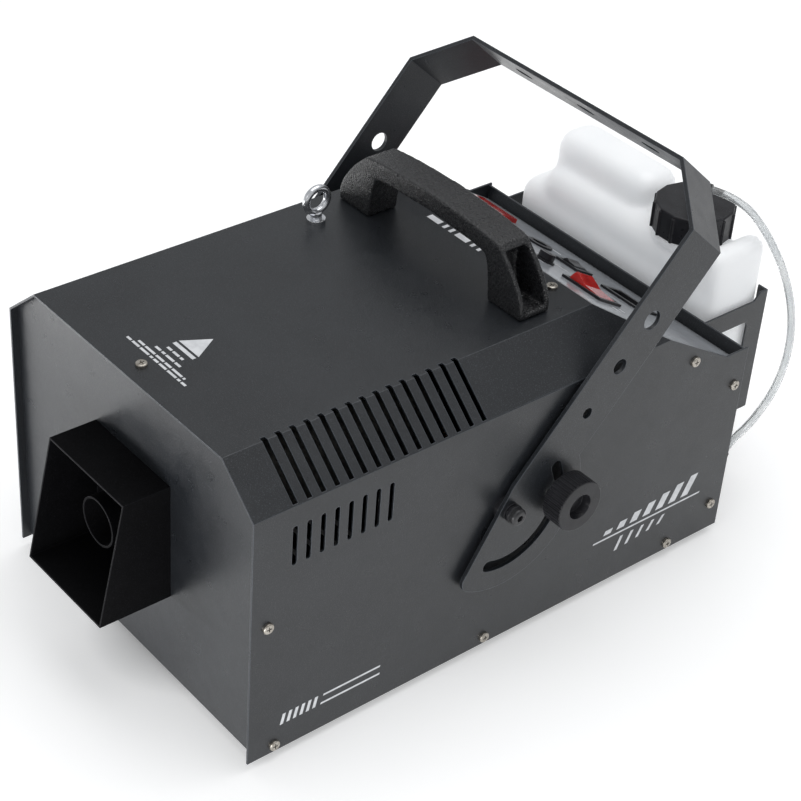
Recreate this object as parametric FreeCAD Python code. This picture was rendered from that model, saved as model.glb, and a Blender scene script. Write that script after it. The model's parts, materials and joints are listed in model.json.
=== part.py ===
import FreeCAD, Part
import math
import os

from FreeCAD import Rotation, Vector

os.makedirs("parts", exist_ok=True)

# Fog machine with an outlet hood, a tilting yoke and a tank tray behind it.
# Millimetres. X runs across the machine, Y from the hood (front) to the tank (back),
# Z up. The parts are laid out from the cover's front edge (Y 0), its centre plane
# (X 0) and the bottom edge of its side walls (Z 0); export() then moves everything so
# that the origin is the middle of the bounding box at floor level.

# ---------------------------------------------------------------- driving dimensions
SHEET = 1.5                 # steel sheet of cover, panels and tray
WIDTH = 290.0               # outside width of the cover
LENGTH = 450.0              # length of the side walls
TOP_Z = 235.5               # outside of the flat top
FOLD_Z = 206.0              # where a side wall folds into the chamfer
TOP_HALF = 110.5            # half width of the flat top
TOP_END_Y = 312.0           # where the flat top ends and the sloping panel begins
SLOPE_DEG = 31.0            # slope of the control panel
STEP_Z = 166.5              # level top edge of the side walls at the very back
FLOOR_Z = 0.5               # underside of the bottom pan
FOOT_H = 8.0
FOOT_R = 12.0

FRONT_Y = 6.3               # outside face of the recessed front panel
REAR_Y = 448.2              # outside face of the rear panel
REAR_TOP_Z = 161.5          # top of the tray's cheeks
REAR_LIP_Z = 165.5          # top of the rear panel, a lip behind the control panel
PANEL_SINK = 1.2            # control panel below the slope of the side walls
FLANGE = 14.0

HOOD_HALF = 45.0
HOOD_BOTTOM_Z = 74.0
HOOD_TOP_Z = 168.0
HOOD_TOP_REACH = 30.0       # mouth's top edge in front of the cover's front edge
HOOD_BOTTOM_REACH = 50.0    # mouth's bottom edge in front of it
HOOD_SHEET = 1.2
NOZZLE_Z = 121.5
SHROUD_R = 18.6

PIVOT_Y = 213.3
PIVOT_Z = 124.2
YOKE_LEAN_DEG = 47.8        # direction of the arms above +Y at rest
YOKE_OUT = 151.5            # outside face of each arm
YOKE_SHEET = 3.0
ARM_FRONT = 12.0            # edges of the arm strip on either side of the pivot line
ARM_BACK = -32.0
ARM_FOLD = 228.0            # pivot to the fold where an arm turns inward
BAR_REACH = 266.5           # pivot to the outside of the cross bar
BAR_HALF = 110.5            # half length of the cross bar
SECTOR_R = 66.0             # lower end of each arm
SLOT_R = 45.5               # curved slot for the locking stud
SLOT_WIDTH = 9.0
SLOT_FROM_DEG = -157.2      # slot ends, counted from the arm's own direction
SLOT_TO_DEG = -20.6
STUD_DEG = -3.0             # stud as seen from the pivot, above +Y

TRAY_Z = 58.0
TRAY_RIGHT = 99.5
TRAY_LEFT = -126.0
TRAY_BACK_Y = 520.0
TRAY_EAR_Z = 168.0
WINDOW_TOP_Z = 145.0
WINDOW_BOTTOM_Z = 84.0

TANK_BACK = 517.0
TANK_SHOULDER_Z = 204.0     # level round the cap
TANK_WALL = 2.0
# Rounded blocks that make up the canister: left, right, front, bottom, top, radius.
TANK_BLOCKS = (
    (-121.0, 96.5, 453.0, TRAY_Z + SHEET, 186.0, 16.0),
    (-100.0, 96.5, 456.0, 120.0, TANK_SHOULDER_Z, 14.0),
    (-104.0, 4.0, 473.0, 120.0, 230.0, 18.0),
    (77.0, 96.5, 458.0, 120.0, 213.0, 9.0),
)
CAP_X = 41.5
CAP_Y = 487.0
CAP_R = 31.0
CAP_BOTTOM_Z = 205.0
CAP_TOP_Z = 228.0

HOSE_R = 3.0
HOSE_BORE_R = 2.0

# Vents: upright slots in both sides, slanted ones in the right chamfer only.
SIDE_SLOTS = 8
CHAMFER_SLOTS = 15
SLOT_PITCH = 11.1
FIRST_SLOT_Y = 32.5
VENT_WIDTH = 4.0
VENT_FOOT = 1.5             # slanted slots start this far above the fold
SIDE_VENT_BOTTOM_Z = 158.5
SIDE_VENT_TOP_Z = 190.0

M4 = 2.0
M4_HEAD_R = 4.1
M4_HEAD_H = 2.4

# ---------------------------------------------------------------- derived positions
Y_FRONT_MOST = -HOOD_BOTTOM_REACH
Y_MIDDLE = (Y_FRONT_MOST + TRAY_BACK_Y) / 2.0
TO_ORIGIN = Vector(0.0, -Y_MIDDLE, FOOT_H - FLOOR_Z)
SLOPE = math.radians(SLOPE_DEG)
HALF = WIDTH / 2.0
INNER = HALF - SHEET
PAN_TOP = FLOOR_Z + SHEET
STUD_Y = PIVOT_Y + SLOT_R * math.cos(math.radians(STUD_DEG))
STUD_Z = PIVOT_Z + SLOT_R * math.sin(math.radians(STUD_DEG))

made = []


def export(name, shape):
    """Checks that every solid is sound, moves it to the origin and writes it."""
    if not shape.isValid() or not shape.Solids:
        raise ValueError(name + " is not a sound solid")
    shape.translate(TO_ORIGIN)
    shape.exportStep(os.path.join("parts", name + ".step"))
    made.append((name, len(shape.Solids), shape.Volume))


# ---------------------------------------------------------------- shape helpers
def box(x0, x1, y0, y1, z0, z1):
    return Part.makeBox(x1 - x0, y1 - y0, z1 - z0, Vector(x0, y0, z0))


def rod(radius, start, end):
    axis = Vector(*end) - Vector(*start)
    return Part.makeCylinder(radius, axis.Length, Vector(*start), axis)


def pipe(outer, inner, start, end):
    return rod(outer, start, end).cut(rod(inner, start, end))


def prism_y(points, y0, y1):
    """Solid from an outline of (x, z) points between two planes of constant Y."""
    corners = [Vector(x, y0, z) for x, z in points]
    face = Part.Face(Part.makePolygon(corners + [corners[0]]))
    return face.extrude(Vector(0, y1 - y0, 0))


def prism_x(points, x0, x1):
    """Solid from an outline of (y, z) points between two planes of constant X."""
    corners = [Vector(x0, y, z) for y, z in points]
    face = Part.Face(Part.makePolygon(corners + [corners[0]]))
    return face.extrude(Vector(x1 - x0, 0, 0))


def rounded(shape, radius, wanted):
    """Fillets the edges for which wanted(edge) is true."""
    return shape.makeFillet(radius, [e for e in shape.Edges if wanted(e)])


def along(edge, axis):
    """True for a straight edge that runs along one axis (0, 1 or 2)."""
    ends = [v.Point for v in edge.Vertexes]
    if len(ends) != 2:
        return False
    span = ends[1] - ends[0]
    others = [abs(span[i]) for i in range(3) if i != axis]
    return abs(span[axis]) > 0.1 and max(others) < 1e-6


def both_sides(shape):
    """The shape and its mirror image across the centre plane."""
    return [shape, shape.mirror(Vector(0, 0, 0), Vector(1, 0, 0))]


def on_slope(across, down, proud=0.0):
    """Point on the control panel's outer face: across in X, down along the slope."""
    sunk = proud - PANEL_SINK
    y = TOP_END_Y + down * math.cos(SLOPE) + sunk * math.sin(SLOPE)
    z = TOP_Z - down * math.sin(SLOPE) + sunk * math.cos(SLOPE)
    return Vector(across, y, z)


def tilt_to_slope(shape, across, down):
    """Places a shape drawn flat (X across, -Y up the slope, Z proud) on the panel."""
    shape.Placement = FreeCAD.Placement(
        on_slope(across, down), Rotation(Vector(1, 0, 0), -SLOPE_DEG)
    )
    return shape


def pan_screw(point, outward, length):
    """Pan-head screw with a cross recess; point is where the head meets the sheet."""
    base = Vector(*point)
    out = Vector(*outward)
    head = Part.makeCylinder(M4_HEAD_R, M4_HEAD_H, base, out)
    head = rounded(head, 1.1, lambda e: (e.CenterOfMass - base).dot(out) > M4_HEAD_H / 2)
    shank = Part.makeCylinder(M4, length, base - out * length, out)
    side = Vector(0, 0, 1) if abs(out.z) < 0.5 else Vector(1, 0, 0)
    screw = head.fuse(shank)
    for arm in (side, out.cross(side)):
        wide = out.cross(arm)
        corner = base + out * (M4_HEAD_H - 1.3) - arm * 2.2 - wide * 0.45
        slot = Part.makePolygon(
            [corner, corner + arm * 4.4, corner + arm * 4.4 + wide * 0.9,
             corner + wide * 0.9, corner]
        )
        screw = screw.cut(Part.Face(slot).extrude(out * 3.0))
    return screw


def hex_nut(point, direction, across_flats, thick, bore):
    base = Vector(*point)
    axis = Vector(*direction)
    nut = Part.makeCylinder(across_flats, thick, base, axis)
    start = Vector(0, 0, 1) if abs(axis.z) < 0.5 else Vector(1, 0, 0)
    for step in range(6):
        normal = Rotation(axis, step * 60.0).multVec(start)
        middle = base + normal * (across_flats / 2.0)
        wide = axis.cross(normal)
        a = middle + wide * across_flats
        b = middle - wide * across_flats
        face = Part.Face(Part.makePolygon([a, b, b + axis * thick, a + axis * thick, a]))
        nut = nut.cut(face.extrude(normal * across_flats))
    return nut.cut(Part.makeCylinder(bore, thick, base, axis))


def arc_route(points):
    """Wire of straight runs joined by tangent arcs; also returns the arc radii."""
    corners = [Vector(*p) for p in points]
    edges = []
    radii = []
    at = corners[0]
    for before, corner, after in zip(corners, corners[1:], corners[2:]):
        into = (corner - before)
        out = (after - corner)
        run = min(into.Length, out.Length)
        into.normalize()
        out.normalize()
        half_turn = into.getAngle(out) / 2.0
        tangent = 0.45 * run
        radius = tangent / math.tan(half_turn)
        enter = corner - into * tangent
        leave = corner + out * tangent
        inward = (out - into)
        inward.normalize()
        middle = corner + inward * (radius / math.cos(half_turn) - radius)
        edges.append(Part.LineSegment(at, enter).toShape())
        edges.append(Part.Arc(enter, middle, leave).toShape())
        radii.append(radius)
        at = leave
    edges.append(Part.LineSegment(at, corners[-1]).toShape())
    return Part.Wire(edges), radii


def tube(points, outer, bore):
    """Hollow tube along a rounded route."""
    wire, radii = arc_route(points)
    start = Vector(*points[0])
    heading = Vector(*points[1]) - start
    solids = []
    for radius in (outer, bore):
        ring = Part.Wire(Part.makeCircle(radius, start, heading))
        solids.append(wire.makePipeShell([ring], True, False))
    return solids[0].cut(solids[1]), wire.Length, radii


# ---------------------------------------------------------------- housing
def housing_outline(shrink):
    """Corner points (x, z) of the folded section, moved inward by shrink."""
    fold_angle = math.atan2(TOP_Z - FOLD_Z, HALF - TOP_HALF)
    top_in = shrink * math.tan(fold_angle / 2.0)
    side_in = shrink * math.tan((math.pi / 2.0 - fold_angle) / 2.0)
    right = [
        (HALF - shrink, 0.0),
        (HALF - shrink, FOLD_Z - side_in),
        (TOP_HALF - top_in, TOP_Z - shrink),
    ]
    return right + [(-x, z) for x, z in reversed(right)]


def above_slope(lift):
    """Everything above the slope of the side walls, raised by lift, as a block."""
    edge = TOP_Z + lift / math.cos(SLOPE)
    far = 300.0
    return prism_x(
        [(TOP_END_Y, edge),
         (TOP_END_Y + far, edge - far * math.tan(SLOPE)),
         (TOP_END_Y + far, edge + far),
         (TOP_END_Y, edge + far)],
        -HALF - 10.0, HALF + 10.0,
    )


def vent_slot_side(y):
    """Upright slot with round ends through the right side wall."""
    low = SIDE_VENT_BOTTOM_Z + VENT_WIDTH / 2.0
    high = SIDE_VENT_TOP_Z - VENT_WIDTH / 2.0
    slot = box(INNER - 2, HALF + 2, y - VENT_WIDTH / 2.0, y + VENT_WIDTH / 2.0, low, high)
    for z in (low, high):
        slot = slot.fuse(rod(VENT_WIDTH / 2.0, (INNER - 2, y, z), (HALF + 2, y, z)))
    return slot


def vent_slot_chamfer(y):
    """Slot across the right chamfer, running a little onto the flat top."""
    up = Vector(TOP_HALF - HALF, 0.0, TOP_Z - FOLD_Z).normalize()
    out = Vector(up.z, 0.0, -up.x)
    foot = Vector(HALF, 0.0, FOLD_Z) + up * VENT_FOOT
    above = foot + out * 5.0
    below = foot - out * 4.0
    points = [
        (above.x, above.z), (below.x, below.z),
        (TOP_HALF - 3.5, TOP_Z - 4.0), (TOP_HALF - 3.5, TOP_Z + 5.0),
        (TOP_HALF + 8.0, TOP_Z + 5.0),
    ]
    return prism_y(points, y - VENT_WIDTH / 2.0, y + VENT_WIDTH / 2.0)


def cover_shell():
    """Inverted U of sheet: side walls, chamfers and flat top, open at the bottom."""
    shell = prism_y(housing_outline(0.0), 0.0, LENGTH)
    hollow = prism_y(housing_outline(SHEET), -1.0, LENGTH + 1.0)
    shell = shell.cut(hollow).cut(above_slope(0.0).cut(box(-200, 200, 0, 600, 0, STEP_Z)))
    for i in range(SIDE_SLOTS):
        for cutter in both_sides(vent_slot_side(FIRST_SLOT_Y + i * SLOT_PITCH)):
            shell = shell.cut(cutter)
    for i in range(CHAMFER_SLOTS):
        shell = shell.cut(vent_slot_chamfer(FIRST_SLOT_Y + i * SLOT_PITCH))
    for y, z, radius in ((PIVOT_Y, PIVOT_Z, 4.2), (STUD_Y, STUD_Z, 4.4)):
        shell = shell.cut(rod(radius, (-HALF - 5, y, z), (HALF + 5, y, z)))
    for y, z in COVER_SCREWS:
        shell = shell.cut(rod(M4, (-HALF - 5, y, z), (HALF + 5, y, z)))
    for x, y in TOP_SCREWS:
        shell = shell.cut(rod(M4, (x, y, TOP_Z - 5), (x, y, TOP_Z + 5)))
    shell = shell.cut(rod(3.0, (EYE_X, EYE_Y, TOP_Z - 5), (EYE_X, EYE_Y, TOP_Z + 5)))
    for x in HANDLE_BOLT_X:
        shell = shell.cut(rod(2.5, (x, HANDLE_Y, TOP_Z - 5), (x, HANDLE_Y, TOP_Z + 5)))
    return shell


COVER_SCREWS = [
    (13.0, 115.5), (21.5, 6.5), (208.0, 6.5), (394.0, 6.5),
    (438.5, 25.0), (440.5, 136.5), (391.0, 176.5),
]
TOP_SCREWS = [(0.0, 14.2), (-79.0, 303.0), (79.0, 303.0)]
EYE_X = -83.3
EYE_Y = 219.0
HANDLE_Y = 267.0
HANDLE_BOLT_X = (-82.0, 82.0)


def chassis_base():
    """Bottom pan: floor plate with an upturned flange along each side."""
    pan = box(-INNER, INNER, FRONT_Y + SHEET, REAR_Y - SHEET, FLOOR_Z, PAN_TOP)
    for flange in both_sides(
        box(INNER - SHEET, INNER, FRONT_Y + SHEET + FLANGE + 1, REAR_Y - SHEET - FLANGE - 1,
            FLOOR_Z, FLANGE)
    ):
        pan = pan.fuse(flange)
    for ear in both_sides(
        box(INNER - SHEET, INNER, FRONT_Y + SHEET, FRONT_Y + SHEET + 16, FLOOR_Z, 12)
    ):
        pan = pan.fuse(ear)
    for y, z in COVER_SCREWS:
        if z < FLANGE:
            pan = pan.cut(rod(M4, (-HALF, y, z), (HALF, y, z)))
    for x, y in FOOT_PLACES:
        pan = pan.cut(rod(M4, (x, y, -1), (x, y, 5)))
    for i in range(BASE_VENTS):
        y = 90.0 + i * 16.0
        pan = pan.cut(box(-40.0, 40.0, y, y + 5.0, 0.0, 3.0))
    return pan.removeSplitter()


FOOT_PLACES = [(x, y) for x in (-120.0, 120.0) for y in (34.0, 416.0)]
BASE_VENTS = 8


def front_panel():
    """Recessed front plate with side and top flanges for the cover screws."""
    back = FRONT_Y + SHEET
    plate = prism_y(housing_outline(SHEET), FRONT_Y, back)
    plate = plate.cut(box(-200, 200, 0, 20, -5, 3.0))
    plate = plate.cut(rod(SHROUD_R, (0, 0, NOZZLE_Z), (0, 20, NOZZLE_Z)))
    top = box(-TOP_HALF + 4, TOP_HALF - 4, back, back + FLANGE, TOP_Z - 2 * SHEET, TOP_Z - SHEET)
    panel = plate.fuse(top)
    for flange in both_sides(box(INNER - SHEET, INNER, back, back + FLANGE, 13.0, 198.0)):
        panel = panel.fuse(flange)
    panel = panel.cut(rod(M4, (-HALF, 13.0, 115.5), (HALF, 13.0, 115.5)))
    panel = panel.cut(rod(M4, (0.0, 14.2, TOP_Z - 6), (0.0, 14.2, TOP_Z + 1)))
    for x, z in HOOD_SCREWS:
        panel = panel.cut(rod(1.5, (x, 0, z), (x, 20, z)))
    return panel


HOOD_SCREWS = [(x, z) for x in (-36.0, 36.0) for z in (HOOD_BOTTOM_Z + 8, HOOD_TOP_Z - 8)]


def outlet_hood():
    """Square sheet duct in front of the nozzle, its mouth cut to slant downward."""
    outline = [
        (FRONT_Y, HOOD_BOTTOM_Z), (-HOOD_BOTTOM_REACH, HOOD_BOTTOM_Z),
        (-HOOD_TOP_REACH, HOOD_TOP_Z), (FRONT_Y, HOOD_TOP_Z),
    ]
    outer = prism_x(outline, -HOOD_HALF, HOOD_HALF)
    inner = box(
        -HOOD_HALF + HOOD_SHEET, HOOD_HALF - HOOD_SHEET, -80.0, FRONT_Y - HOOD_SHEET,
        HOOD_BOTTOM_Z + HOOD_SHEET, HOOD_TOP_Z - HOOD_SHEET,
    )
    hood = outer.cut(inner)
    opening = box(-30.0, 30.0, 0.0, 10.0, HOOD_BOTTOM_Z + 17.0, HOOD_TOP_Z - 17.0)
    opening = rounded(opening, 12.0, lambda e: along(e, 1))
    hood = hood.cut(opening)
    for x, z in HOOD_SCREWS:
        hood = hood.cut(rod(1.5, (x, 0, z), (x, 20, z)))
    return hood


def hood_screws():
    """Four small pan-head screws from inside the hood into the front panel."""
    screws = []
    for x, z in HOOD_SCREWS:
        head = rod(2.8, (x, FRONT_Y - HOOD_SHEET - 1.8, z), (x, FRONT_Y - HOOD_SHEET, z))
        shank = rod(1.5, (x, FRONT_Y - HOOD_SHEET, z), (x, FRONT_Y + 6.0, z))
        screws.append(head.fuse(shank))
    return screws


def rear_panel():
    """Upright rear plate; its top edge stands as a lip behind the control panel."""
    inside = REAR_Y - SHEET
    plate = box(-INNER, INNER, inside, REAR_Y, 3.0, REAR_LIP_Z)
    panel = plate
    for flange in both_sides(box(INNER - SHEET, INNER, inside - FLANGE, inside, 14.5, 150.0)):
        panel = panel.fuse(flange)
    for y, z in ((438.5, 25.0), (440.5, 136.5)):
        panel = panel.cut(rod(M4, (-HALF, y, z), (HALF, y, z)))
    panel = panel.cut(rod(5.0, (FITTING.x, inside - 5, FITTING.z), (FITTING.x, REAR_Y + 5, FITTING.z)))
    for x, z in TRAY_RIVETS:
        panel = panel.cut(rod(1.6, (x, inside - 5, z), (x, REAR_Y + 5, z)))
    return panel


TRAY_RIVETS = [(x, z) for x in (TRAY_LEFT + 9.0, TRAY_RIGHT - 9.0) for z in (72.0, 143.0)]


def control_panel():
    """Light grey sloping plate between the side walls, folded along its edges."""
    plate = above_slope(-PANEL_SINK - SHEET).cut(above_slope(-PANEL_SINK))
    room = prism_y(housing_outline(SHEET + 0.2), TOP_END_Y, REAR_Y - SHEET)
    plate = plate.common(room)
    tongue = box(
        -TOP_HALF + 4, TOP_HALF - 4, TOP_END_Y - 18, TOP_END_Y + 1.0,
        TOP_Z - 2 * SHEET, TOP_Z - SHEET,
    )
    panel = plate.fuse(tongue.cut(above_slope(-PANEL_SINK)))
    strip = prism_x(
        [(375.0, 166.0), (408.0, 146.0), (408.0, 176.6), (375.0, 196.4)], INNER - SHEET, INNER
    )
    strip = strip.cut(above_slope(-PANEL_SINK - SHEET / 2))
    for flange in both_sides(strip):
        panel = panel.fuse(flange)
    panel = panel.cut(rod(M4, (-HALF, 391.0, 176.5), (HALF, 391.0, 176.5)))
    for x in (-79.0, 79.0):
        panel = panel.cut(rod(M4, (x, 303.0, TOP_Z - 6), (x, 303.0, TOP_Z + 1)))
    for cutter in panel_openings():
        panel = panel.cut(cutter)
    return panel


# Items on the control panel: (centre across, centre down the slope, width, depth).
POWER_PLACE = (70.0, 49.0, 40.0, 27.0)
HEAT_PLACE = (9.0, 99.0, 24.0, 22.0)
DISPLAY_PLACE = (-100.0, 111.0, 42.0, 26.0)
INLET_PLACE = (63.0, 107.0, 40.0, 26.0)
XLR_OUT_PLACE = (-31.0, 101.0)
XLR_IN_PLACE = (-62.0, 55.0)
XLR_R = 10.0
FUSE_PLACE = (19.0, 50.0)
FUSE_R = 6.0
BUTTON_ACROSS = (-114.5, -101.5, -88.5, -75.5)
BUTTON_DOWN = 78.0
BUTTON_R = 4.0


def flat_box(place, grow, low, high):
    """Upright block over a panel item, drawn flat and laid on the slope."""
    across, down, wide, deep = place
    block = Part.makeBox(
        wide + 2 * grow, deep + 2 * grow, high - low,
        Vector(-wide / 2 - grow, -deep / 2 - grow, low),
    )
    return tilt_to_slope(block, across, down)


def flat_rod(across, down, radius, low, high):
    post = Part.makeCylinder(radius, high - low, Vector(0, 0, low))
    return tilt_to_slope(post, across, down)


def panel_openings():
    cutters = [flat_box(place, -1.5, -5, 5) for place in
               (POWER_PLACE, HEAT_PLACE, DISPLAY_PLACE, INLET_PLACE)]
    cutters += [flat_rod(x, d, XLR_R - 1.5, -5, 5) for x, d in (XLR_OUT_PLACE, XLR_IN_PLACE)]
    cutters.append(flat_rod(FUSE_PLACE[0], FUSE_PLACE[1], FUSE_R, -5, 5))
    cutters += [flat_rod(x, BUTTON_DOWN, BUTTON_R + 0.5, -5, 5) for x in BUTTON_ACROSS]
    return cutters


def rocker_bezel(place):
    """Frame of a rocker switch: rim on the panel, body and three tabs below it."""
    across, down, wide, deep = place
    rim = flat_box(place, 0.0, 0.0, 2.0)
    body = flat_box(place, -1.6, -22.0, 0.0)
    shell = rim.fuse(body)
    well = flat_box(place, -3.2, -14.0, 3.0)
    shell = shell.cut(well)
    for step in (-1, 0, 1):
        tab = (across + step * wide / 4.0, down, 0.8, 6.0)
        shell = shell.fuse(flat_box(tab, 0.0, -30.0, -21.0))
    return shell


ROCKER_RIDGE = 3.4
ROCKER_RISE = 0.42          # rise of the raised half and fall of the other, per length
ROCKER_FALL = 0.1
ROCKER_AXLE_Z = -3.0        # tipping axis below the panel's face


def rocker_key(place):
    """Rocker: a flattened V whose far half stands up; its ends are arcs about its axle."""
    across, down, wide, deep = place
    half_w = wide / 2 - 3.6
    half_d = deep / 2 - 3.6
    outline = [
        Vector(-half_w, -half_d, -6.0), Vector(half_w, -half_d, -6.0),
        Vector(half_w, -half_d, ROCKER_RIDGE - ROCKER_FALL * half_w),
        Vector(0.0, -half_d, ROCKER_RIDGE),
        Vector(-half_w, -half_d, ROCKER_RIDGE + ROCKER_RISE * half_w),
    ]
    key = Part.Face(Part.makePolygon(outline + [outline[0]])).extrude(Vector(0, 2 * half_d, 0))
    sweep = Part.makeCylinder(
        half_w, 2 * deep, Vector(0, -deep, ROCKER_AXLE_Z), Vector(0, 1, 0)
    )
    return tilt_to_slope(key.common(sweep), across, down)


def display_window(place):
    """Red filter window over the read-out, its rim proud of the panel."""
    window = flat_box(place, 0.0, 0.0, 3.6)
    return window.fuse(flat_box(place, -1.8, -3.0, 0.0))


def xlr_shell(across, down):
    """Round three-pole chassis connector: flange, barrel and an open mouth."""
    flange = Part.makeCylinder(XLR_R + 1.0, 1.6, Vector(0, 0, 0))
    barrel = Part.makeCylinder(XLR_R - 2.0, 21.6, Vector(0, 0, -20.0))
    mouth = Part.makeCylinder(XLR_R - 3.6, 14.0, Vector(0, 0, -12.0))
    shell = flange.fuse(barrel).cut(mouth)
    return tilt_to_slope(shell, across, down)


def xlr_insert(across, down, pins):
    """Contact block of a connector: three pins standing up, or three sockets."""
    radius = XLR_R - 3.6
    block = Part.makeCylinder(radius - 0.05, 2.0 if pins else 9.0, Vector(0, 0, -12.0))
    for step in (90.0, 210.0, 330.0):
        spot = Rotation(Vector(0, 0, 1), step).multVec(Vector(4.0, 0, 0))
        if pins:
            block = block.fuse(Part.makeCylinder(1.1, 8.0, spot + Vector(0, 0, -11.0)))
        else:
            block = block.cut(Part.makeCylinder(1.3, 8.0, spot + Vector(0, 0, -10.0)))
    return tilt_to_slope(block, across, down)


def fuse_body():
    """Barrel of the fuse holder below its screw cap."""
    flange = Part.makeCylinder(FUSE_R + 2.0, 1.5)
    barrel = Part.makeCylinder(FUSE_R - 0.2, 24.0, Vector(0, 0, -24.0))
    bore = Part.makeCylinder(FUSE_R - 1.8, 20.0, Vector(0, 0, -18.0))
    return tilt_to_slope(flange.fuse(barrel).cut(bore), *FUSE_PLACE)


def fuse_cap():
    """Slotted screw cap of the fuse holder, its stem in the barrel."""
    knob = Part.makeCylinder(FUSE_R + 0.5, 5.0, Vector(0, 0, 1.8))
    stem = Part.makeCylinder(FUSE_R - 2.1, 9.3, Vector(0, 0, -7.5))
    slot = Part.makeBox(2 * FUSE_R + 4, 1.4, 1.6, Vector(-FUSE_R - 2, -0.7, 5.4))
    return tilt_to_slope(knob.fuse(stem).cut(slot), *FUSE_PLACE)


def power_inlet():
    """Three-pole mains inlet: rim, deep well and three flat blades."""
    rim = flat_box(INLET_PLACE, 0.0, 0.0, 1.8)
    body = flat_box(INLET_PLACE, -1.6, -24.0, 0.0)
    well = flat_box(INLET_PLACE, -4.0, -17.0, 3.0)
    inlet = rim.fuse(body).cut(well)
    across, down, wide, deep = INLET_PLACE
    for step, shift in ((-1, 2.5), (0, -2.5), (1, 2.5)):
        blade = (across + step * 7.0, down + shift, 2.0, 4.0)
        inlet = inlet.fuse(flat_box(blade, 0.0, -18.0, -3.0))
    return inlet


def menu_button(across):
    """Push button through the panel, with a collar that keeps it in."""
    cap = Part.makeCylinder(BUTTON_R, 8.3, Vector(0, 0, -5.0))
    cap = rounded(cap, 0.6, lambda e: e.CenterOfMass.z > 3.0)
    collar = Part.makeCylinder(BUTTON_R + 1.2, 1.2, Vector(0, 0, -2.9))
    return tilt_to_slope(cap.fuse(collar), across, BUTTON_DOWN)


DISPLAY_BOARD_DROP = -11.0


def display_board():
    """Small board under the display and its buttons, with a switch under each."""
    place = (-95.0, 96.0, 66.0, 58.0)
    board = flat_box(place, 0.0, DISPLAY_BOARD_DROP - 1.6, DISPLAY_BOARD_DROP)
    for x in BUTTON_ACROSS:
        board = board.fuse(flat_box((x, BUTTON_DOWN, 6.0, 6.0), 0.0, DISPLAY_BOARD_DROP, -6.2))
    readout = (DISPLAY_PLACE[0], DISPLAY_PLACE[1], 38.0, 18.0)
    return board.fuse(flat_box(readout, 0.0, DISPLAY_BOARD_DROP, -3.4))


def display_posts():
    """Four posts between the control panel and the display board."""
    posts = []
    for x in (-124.0, -66.0):
        for down in (71.0, 121.0):
            posts.append(flat_rod(x, down, 2.5, DISPLAY_BOARD_DROP, -SHEET))
    return posts


# ---------------------------------------------------------------- top fittings
HANDLE_HALF = 101.0
HANDLE_DEPTH = 28.0
# Outer edge of the right half (x, height), from the foot up to the middle of the top.
HANDLE_EDGE = ((101.0, 0.0), (101.0, 9.0), (96.5, 21.0), (86.5, 34.5), (74.0, 46.0),
               (56.0, 50.3), (0.0, 53.0))
HANDLE_UNDER = ((67.0, 0.0), (61.0, 30.0), (0.0, 33.0))
HANDLE_POCKET = ((103.0, 5.0), (71.0, 5.0), (66.0, 36.0), (84.0, 50.0), (103.0, 46.0))


def carry_handle():
    """Moulded strap handle with an arched top, open at both ends over its bolts."""
    y0 = HANDLE_Y - HANDLE_DEPTH / 2.0
    y1 = HANDLE_Y + HANDLE_DEPTH / 2.0

    def whole(half):
        """Points across both halves, left to right, from those of the right half."""
        left = [Vector(-x, y0, TOP_Z + z) for x, z in half if x > 0.0]
        return left + [Vector(x, y0, TOP_Z + z) for x, z in reversed(half)]

    crown = Part.BSplineCurve()
    crown.interpolate(whole(HANDLE_EDGE))
    under = whole(HANDLE_UNDER)
    sole = Vector(HANDLE_HALF, y0, TOP_Z)
    outline = Part.makePolygon([sole] + under[::-1] + [Vector(-HANDLE_HALF, y0, TOP_Z)])
    wire = Part.Wire([crown.toShape()] + outline.Edges)
    body = Part.Face(wire).extrude(Vector(0, HANDLE_DEPTH, 0))
    body = rounded(body, 3.0, lambda e: abs(e.CenterOfMass.y - HANDLE_Y) > 10 and
                   e.BoundBox.ZMax > TOP_Z + 2)
    pocket = prism_y([(x, TOP_Z + z) for x, z in HANDLE_POCKET], y0 + 4.0, y1 - 4.0)
    pocket = rounded(pocket, 3.0, lambda e: along(e, 1) and e.CenterOfMass.x < 80.0)
    for cutter in both_sides(pocket):
        body = body.cut(cutter)
    for x in HANDLE_BOLT_X:
        body = body.cut(rod(2.6, (x, HANDLE_Y, TOP_Z - 1), (x, HANDLE_Y, TOP_Z + 20)))
    return body


def handle_bolts():
    """Socket cap bolts in the handle's open ends, with nuts under the cover."""
    bolts = []
    for x in HANDLE_BOLT_X:
        seat = TOP_Z + 5.0
        head = rod(4.5, (x, HANDLE_Y, seat), (x, HANDLE_Y, seat + 5.0))
        socket = rod(2.1, (x, HANDLE_Y, seat + 2.2), (x, HANDLE_Y, seat + 6.0))
        shank = rod(2.5, (x, HANDLE_Y, seat), (x, HANDLE_Y, TOP_Z - 8.0))
        bolts.append(head.fuse(shank).cut(socket))
    return Part.makeCompound(bolts)


def handle_nuts():
    return [
        hex_nut((x, HANDLE_Y, TOP_Z - SHEET - 4.0), (0, 0, 1), 8.0, 4.0, 2.5)
        for x in HANDLE_BOLT_X
    ]


EYE_RING_R = 9.5
EYE_WIRE_R = 2.8


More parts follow.
